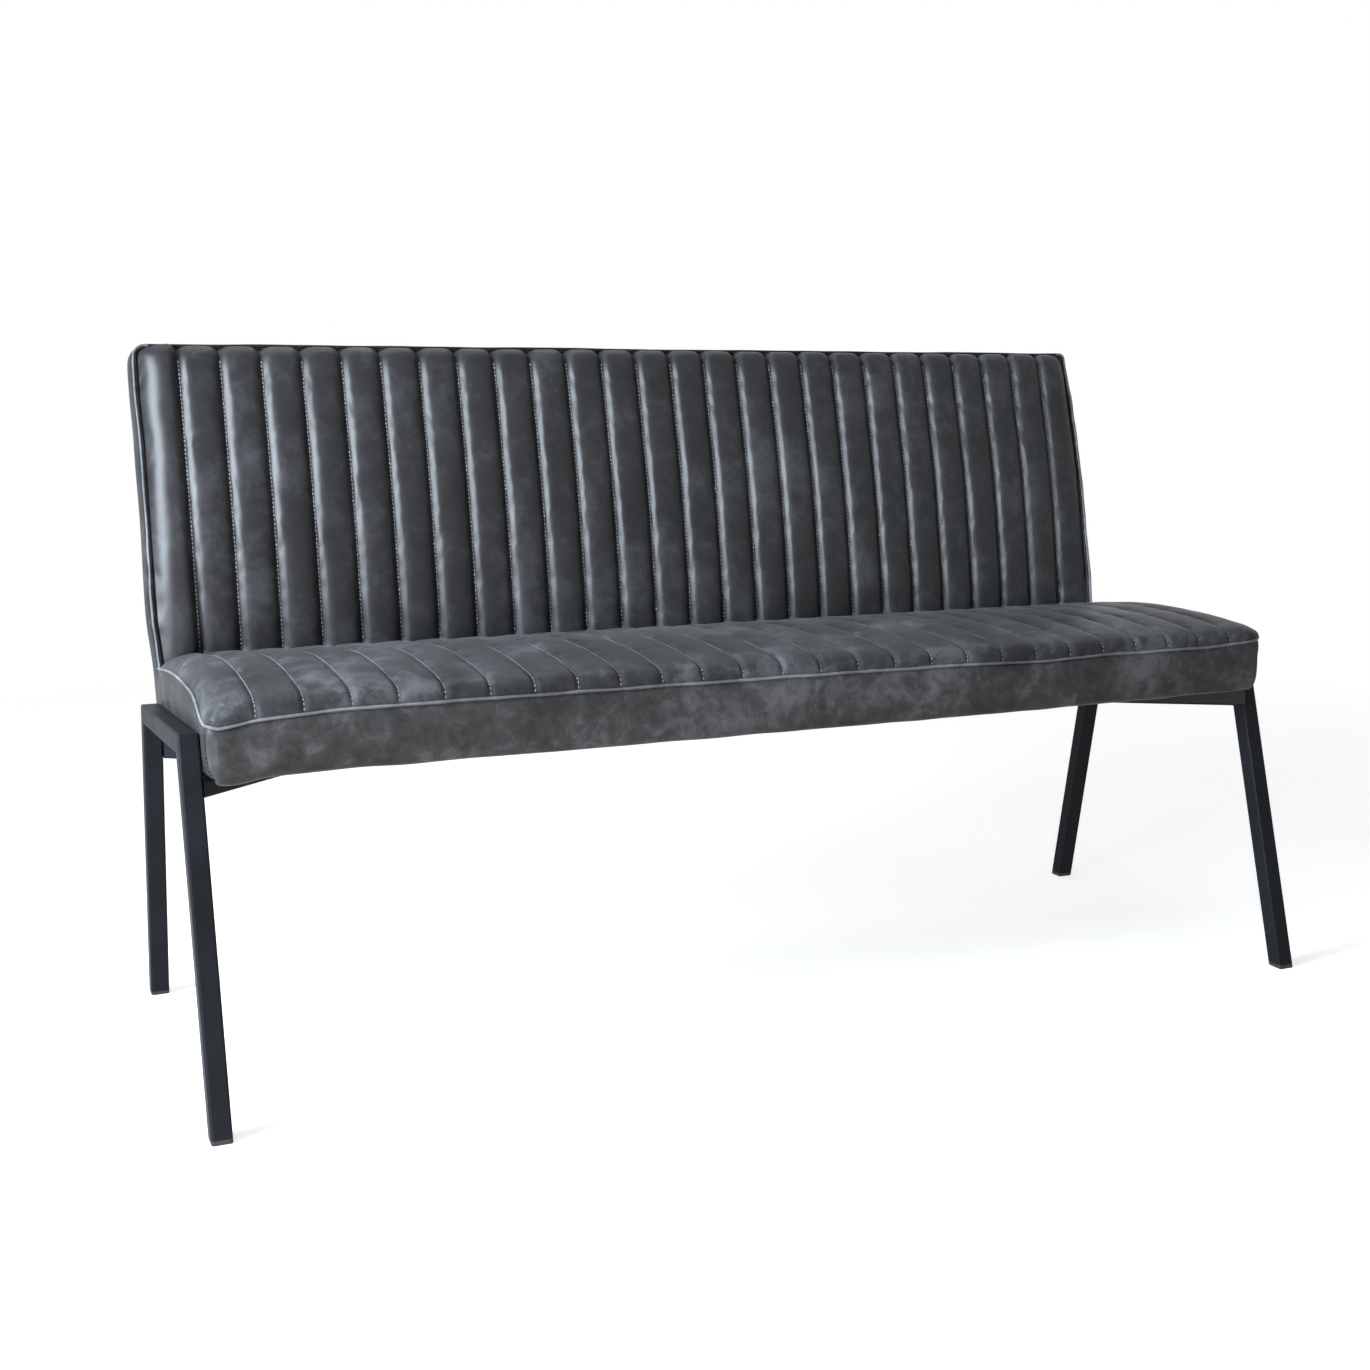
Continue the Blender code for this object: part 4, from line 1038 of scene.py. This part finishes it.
# The welt leather's pale grey is partly wear on the fold and partly a painted highlight on its
# rounded top.
welt_wear_and_highlight_leather = waxed_leather(
    "welt_leather_wear_and_painted_highlight", (0.085, 0.087, 0.094), (0.135, 0.139, 0.150), (0.21, 0.215, 0.23),
)
x, s, n = along_seat_edge().T
path = on_seat(let_out(x, n), s, n)
path[:, 2] += 0.0006 * wander(path, 0.07, 71)
seat_cord = piping("seat_piping", path, 0.0019 + 0.0002 * wander(path, 0.05, 72))
seat_cord.data.materials.append(welt_wear_and_highlight_leather)
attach(seat_cord, "root")
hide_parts("seat_welt")


# The back welt: a cord of the same kind up both side edges of the back and along its top, thinnest
# up the left side. On the sides it is pale like that of the seat, partly from wear and partly as
# painted highlight, and on top it is near-black, as painted shade.
BACK_EDGE = 0.7540
DARK_TOP_HALF = 0.739


def along_back_edge(inset, d):
    """The seam line up the left side of the back, along its top and down its right side.

    It runs inset from the edge at depth d, and comes as x, h and world places.
    """
    places = []
    for side, welt, radius in zip((-1, 1), (left_welt, right_welt), TOP_ROUND):
        foot_h = height_on_back(d, float(welt(CREASE_S)) - 0.004)
        middle_x, middle_h, reach = BACK_EDGE - radius, TOP_SEAM - radius, radius - inset
        half = [(side * (BACK_EDGE - inset), h) for h in np.linspace(foot_h, middle_h, 110)]
        for angle in np.linspace(0, math.pi / 2, 9)[1:]:
            x = middle_x + reach * math.cos(angle)
            half.append((side * x, middle_h + reach * math.sin(angle)))
        half += [(side * x, TOP_SEAM - inset) for x in np.linspace(middle_x, 0, 190)[1:]]
        places += half if side < 0 else half[-2::-1]
    x, h = np.array(places).T
    return x, h, on_back(bow_out(x, h), d - forward(x, h), h)


# Near-black leather: painted shade, on the top of the back welt and in the line just inside the
# welt.
painted_shade_leather = waxed_leather(
    "painted_shade_welt_leather", (0.008, 0.008, 0.009), (0.013, 0.013, 0.015), (0.026, 0.027, 0.030),
)
x, h, path = along_back_edge(0, 0.0050)
on_top = np.abs(x) < DARK_TOP_HALF
path[:, 2] += 0.0006 * wander(path, 0.12, 73) * on_top
path[:, 0] += 0.0007 * wander(path, 0.05, 74) * ~on_top
back_cord = piping("back_piping", path, 0.0018 + 0.0006 * (on_top | (x > 0)))
back_cord.data.materials.append(welt_wear_and_highlight_leather)
back_cord.data.materials.append(painted_shade_leather)
# Faces on the top run take the near-black leather as painted shade; those on the sides take the
# pale welt leather.
rings = np.minimum(np.arange(len(back_cord.data.polygons)) // WELT_SIDES, len(path) - 1)
back_cord.data.polygons.foreach_set("material_index", on_top[rings].astype(int))
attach(back_cord, "root")
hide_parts("back_welt")


# A thin near-black cord just inside the back welt, where the quilted front is sewn to it: painted
# shade for the shadowed groove between the welt and the front. It is thicker in the top right
# corner.
x, h, path = along_back_edge(0.0030, 0.0062)
at_corner = np.clip((x - 0.71) / 0.03, 0, 1) * np.clip((h - 0.385) / 0.03, 0, 1)
painted_shade_line = piping("back_welt_shade_cord", path, 0.0020 + 0.0014 * at_corner, 8)
painted_shade_line.data.materials.append(painted_shade_leather)
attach(painted_shade_line, "root")


# The camera stands before the left end of the bench, a little lower than the top of the back.
# A window on the left lights the bench, and a louvred one beside it the right half of the back.
# The ceiling and the floor fill in. A white floor and white surroundings stand in for the studio.
camera_data = bpy.data.cameras.new("photo_camera")
camera_data.sensor_width = 36
camera_data.lens = 45.82
camera = put_in_scene("photo_camera", camera_data)
camera.location = (-1.0322, -2.2406, 0.8351)
camera.rotation_euler = (math.radians(80.56), 0, math.radians(-23.56))
bpy.context.scene.camera = camera
bpy.context.scene.view_settings.view_transform = "Standard"

DAYLIGHT = (0.80, 0.90, 1.0)


def add_light(name, place, aim, width, height, power, colour, fan=180):
    lamp = bpy.data.lights.new(name, "AREA")
    lamp.shape = "RECTANGLE"
    lamp.size = width
    lamp.size_y = height
    lamp.energy = power
    lamp.color = colour
    lamp.spread = math.radians(fan)
    light = put_in_scene(name, lamp)
    light.location = place
    way = Vector(aim) - light.location
    light.rotation_euler = way.to_track_quat("-Z", "Y").to_euler()


add_light("window", (-2.30, -0.50, 1.35), (0, 0.0, 0.65), 0.7, 1.0, 122, DAYLIGHT)
add_light("louvred_window", (-2.30, -1.32, 1.35), (0.52, 0.2, 0.72), 0.5, 1.0, 4.4, DAYLIGHT, 40)
add_light("ceiling", (-0.3, 0.55, 2.8), (0, 0, 0.5), 2.6, 1.4, 24, (0.92, 0.96, 1.0))
add_light("floor_bounce", (-1.50, -1.90, 0.30), (-0.1, -0.2, 0.42), 1.0, 0.5, 23, (1.0, 0.97, 0.93))


def in_sight(finish):
    """1 for what the camera sees, also in gloss or through glass, and 0 for light on things."""
    seen = add_node(finish, "ShaderNodeLightPath").outputs
    larger = {"operation": "MAXIMUM"}
    mirrored = add_node(
        finish, "ShaderNodeMath", larger, i0=seen["Is Glossy Ray"], i1=seen["Is Transmission Ray"],
    ).outputs[0]
    either = add_node(finish, "ShaderNodeMath", larger, i0=seen["Is Camera Ray"], i1=mirrored)
    return either.outputs[0]


FLOOR_HALF = 9
corners = np.array([(-1, -1, 0), (1, -1, 0), (1, 1, 0), (-1, 1, 0)]) * FLOOR_HALF
floor = new_piece("floor", corners, [(0, 1, 2, 3)])
floor_paint = bpy.data.materials.new("white_floor")
floor_paint.use_nodes = True
floor_paint.node_tree.nodes.clear()
place = add_node(floor_paint, "ShaderNodeTexCoord").outputs["Object"]
distance = add_node(floor_paint, "ShaderNodeVectorMath", {"operation": "LENGTH"}, i0=place)
away = spread(floor_paint, distance.outputs["Value"], 0, 1, from_low=1.3, from_high=3.2)
dull = add_node(floor_paint, "ShaderNodeBsdfDiffuse", Color=(0.7, 0.7, 0.7, 1)).outputs[0]
glow = add_node(floor_paint, "ShaderNodeEmission", Color=(1, 1, 1, 1), Strength=0.74).outputs[0]
white = add_node(floor_paint, "ShaderNodeEmission", Color=(1, 1, 1, 1), Strength=1.0).outputs[0]
near = add_node(floor_paint, "ShaderNodeAddShader", i0=glow, i1=dull).outputs[0]
shown = add_node(floor_paint, "ShaderNodeMixShader", i0=away, i1=near, i2=white).outputs[0]
paint = add_node(floor_paint, "ShaderNodeMixShader", i0=in_sight(floor_paint), i1=dull, i2=shown)
add_node(floor_paint, "ShaderNodeOutputMaterial", Surface=paint.outputs[0])
floor.data.materials.append(floor_paint)

world = bpy.data.worlds.new("white_room")
bpy.context.scene.world = world
world.use_nodes = True
world.node_tree.nodes.clear()
bright = add_node(world, "ShaderNodeBackground", Color=(1, 1, 1, 1), Strength=1.0).outputs[0]
soft = add_node(world, "ShaderNodeBackground", Color=(0.95, 0.97, 1.0, 1), Strength=0.10).outputs[0]
room = add_node(world, "ShaderNodeMixShader", i0=in_sight(world), i1=soft, i2=bright)
add_node(world, "ShaderNodeOutputWorld", Surface=room.outputs[0])
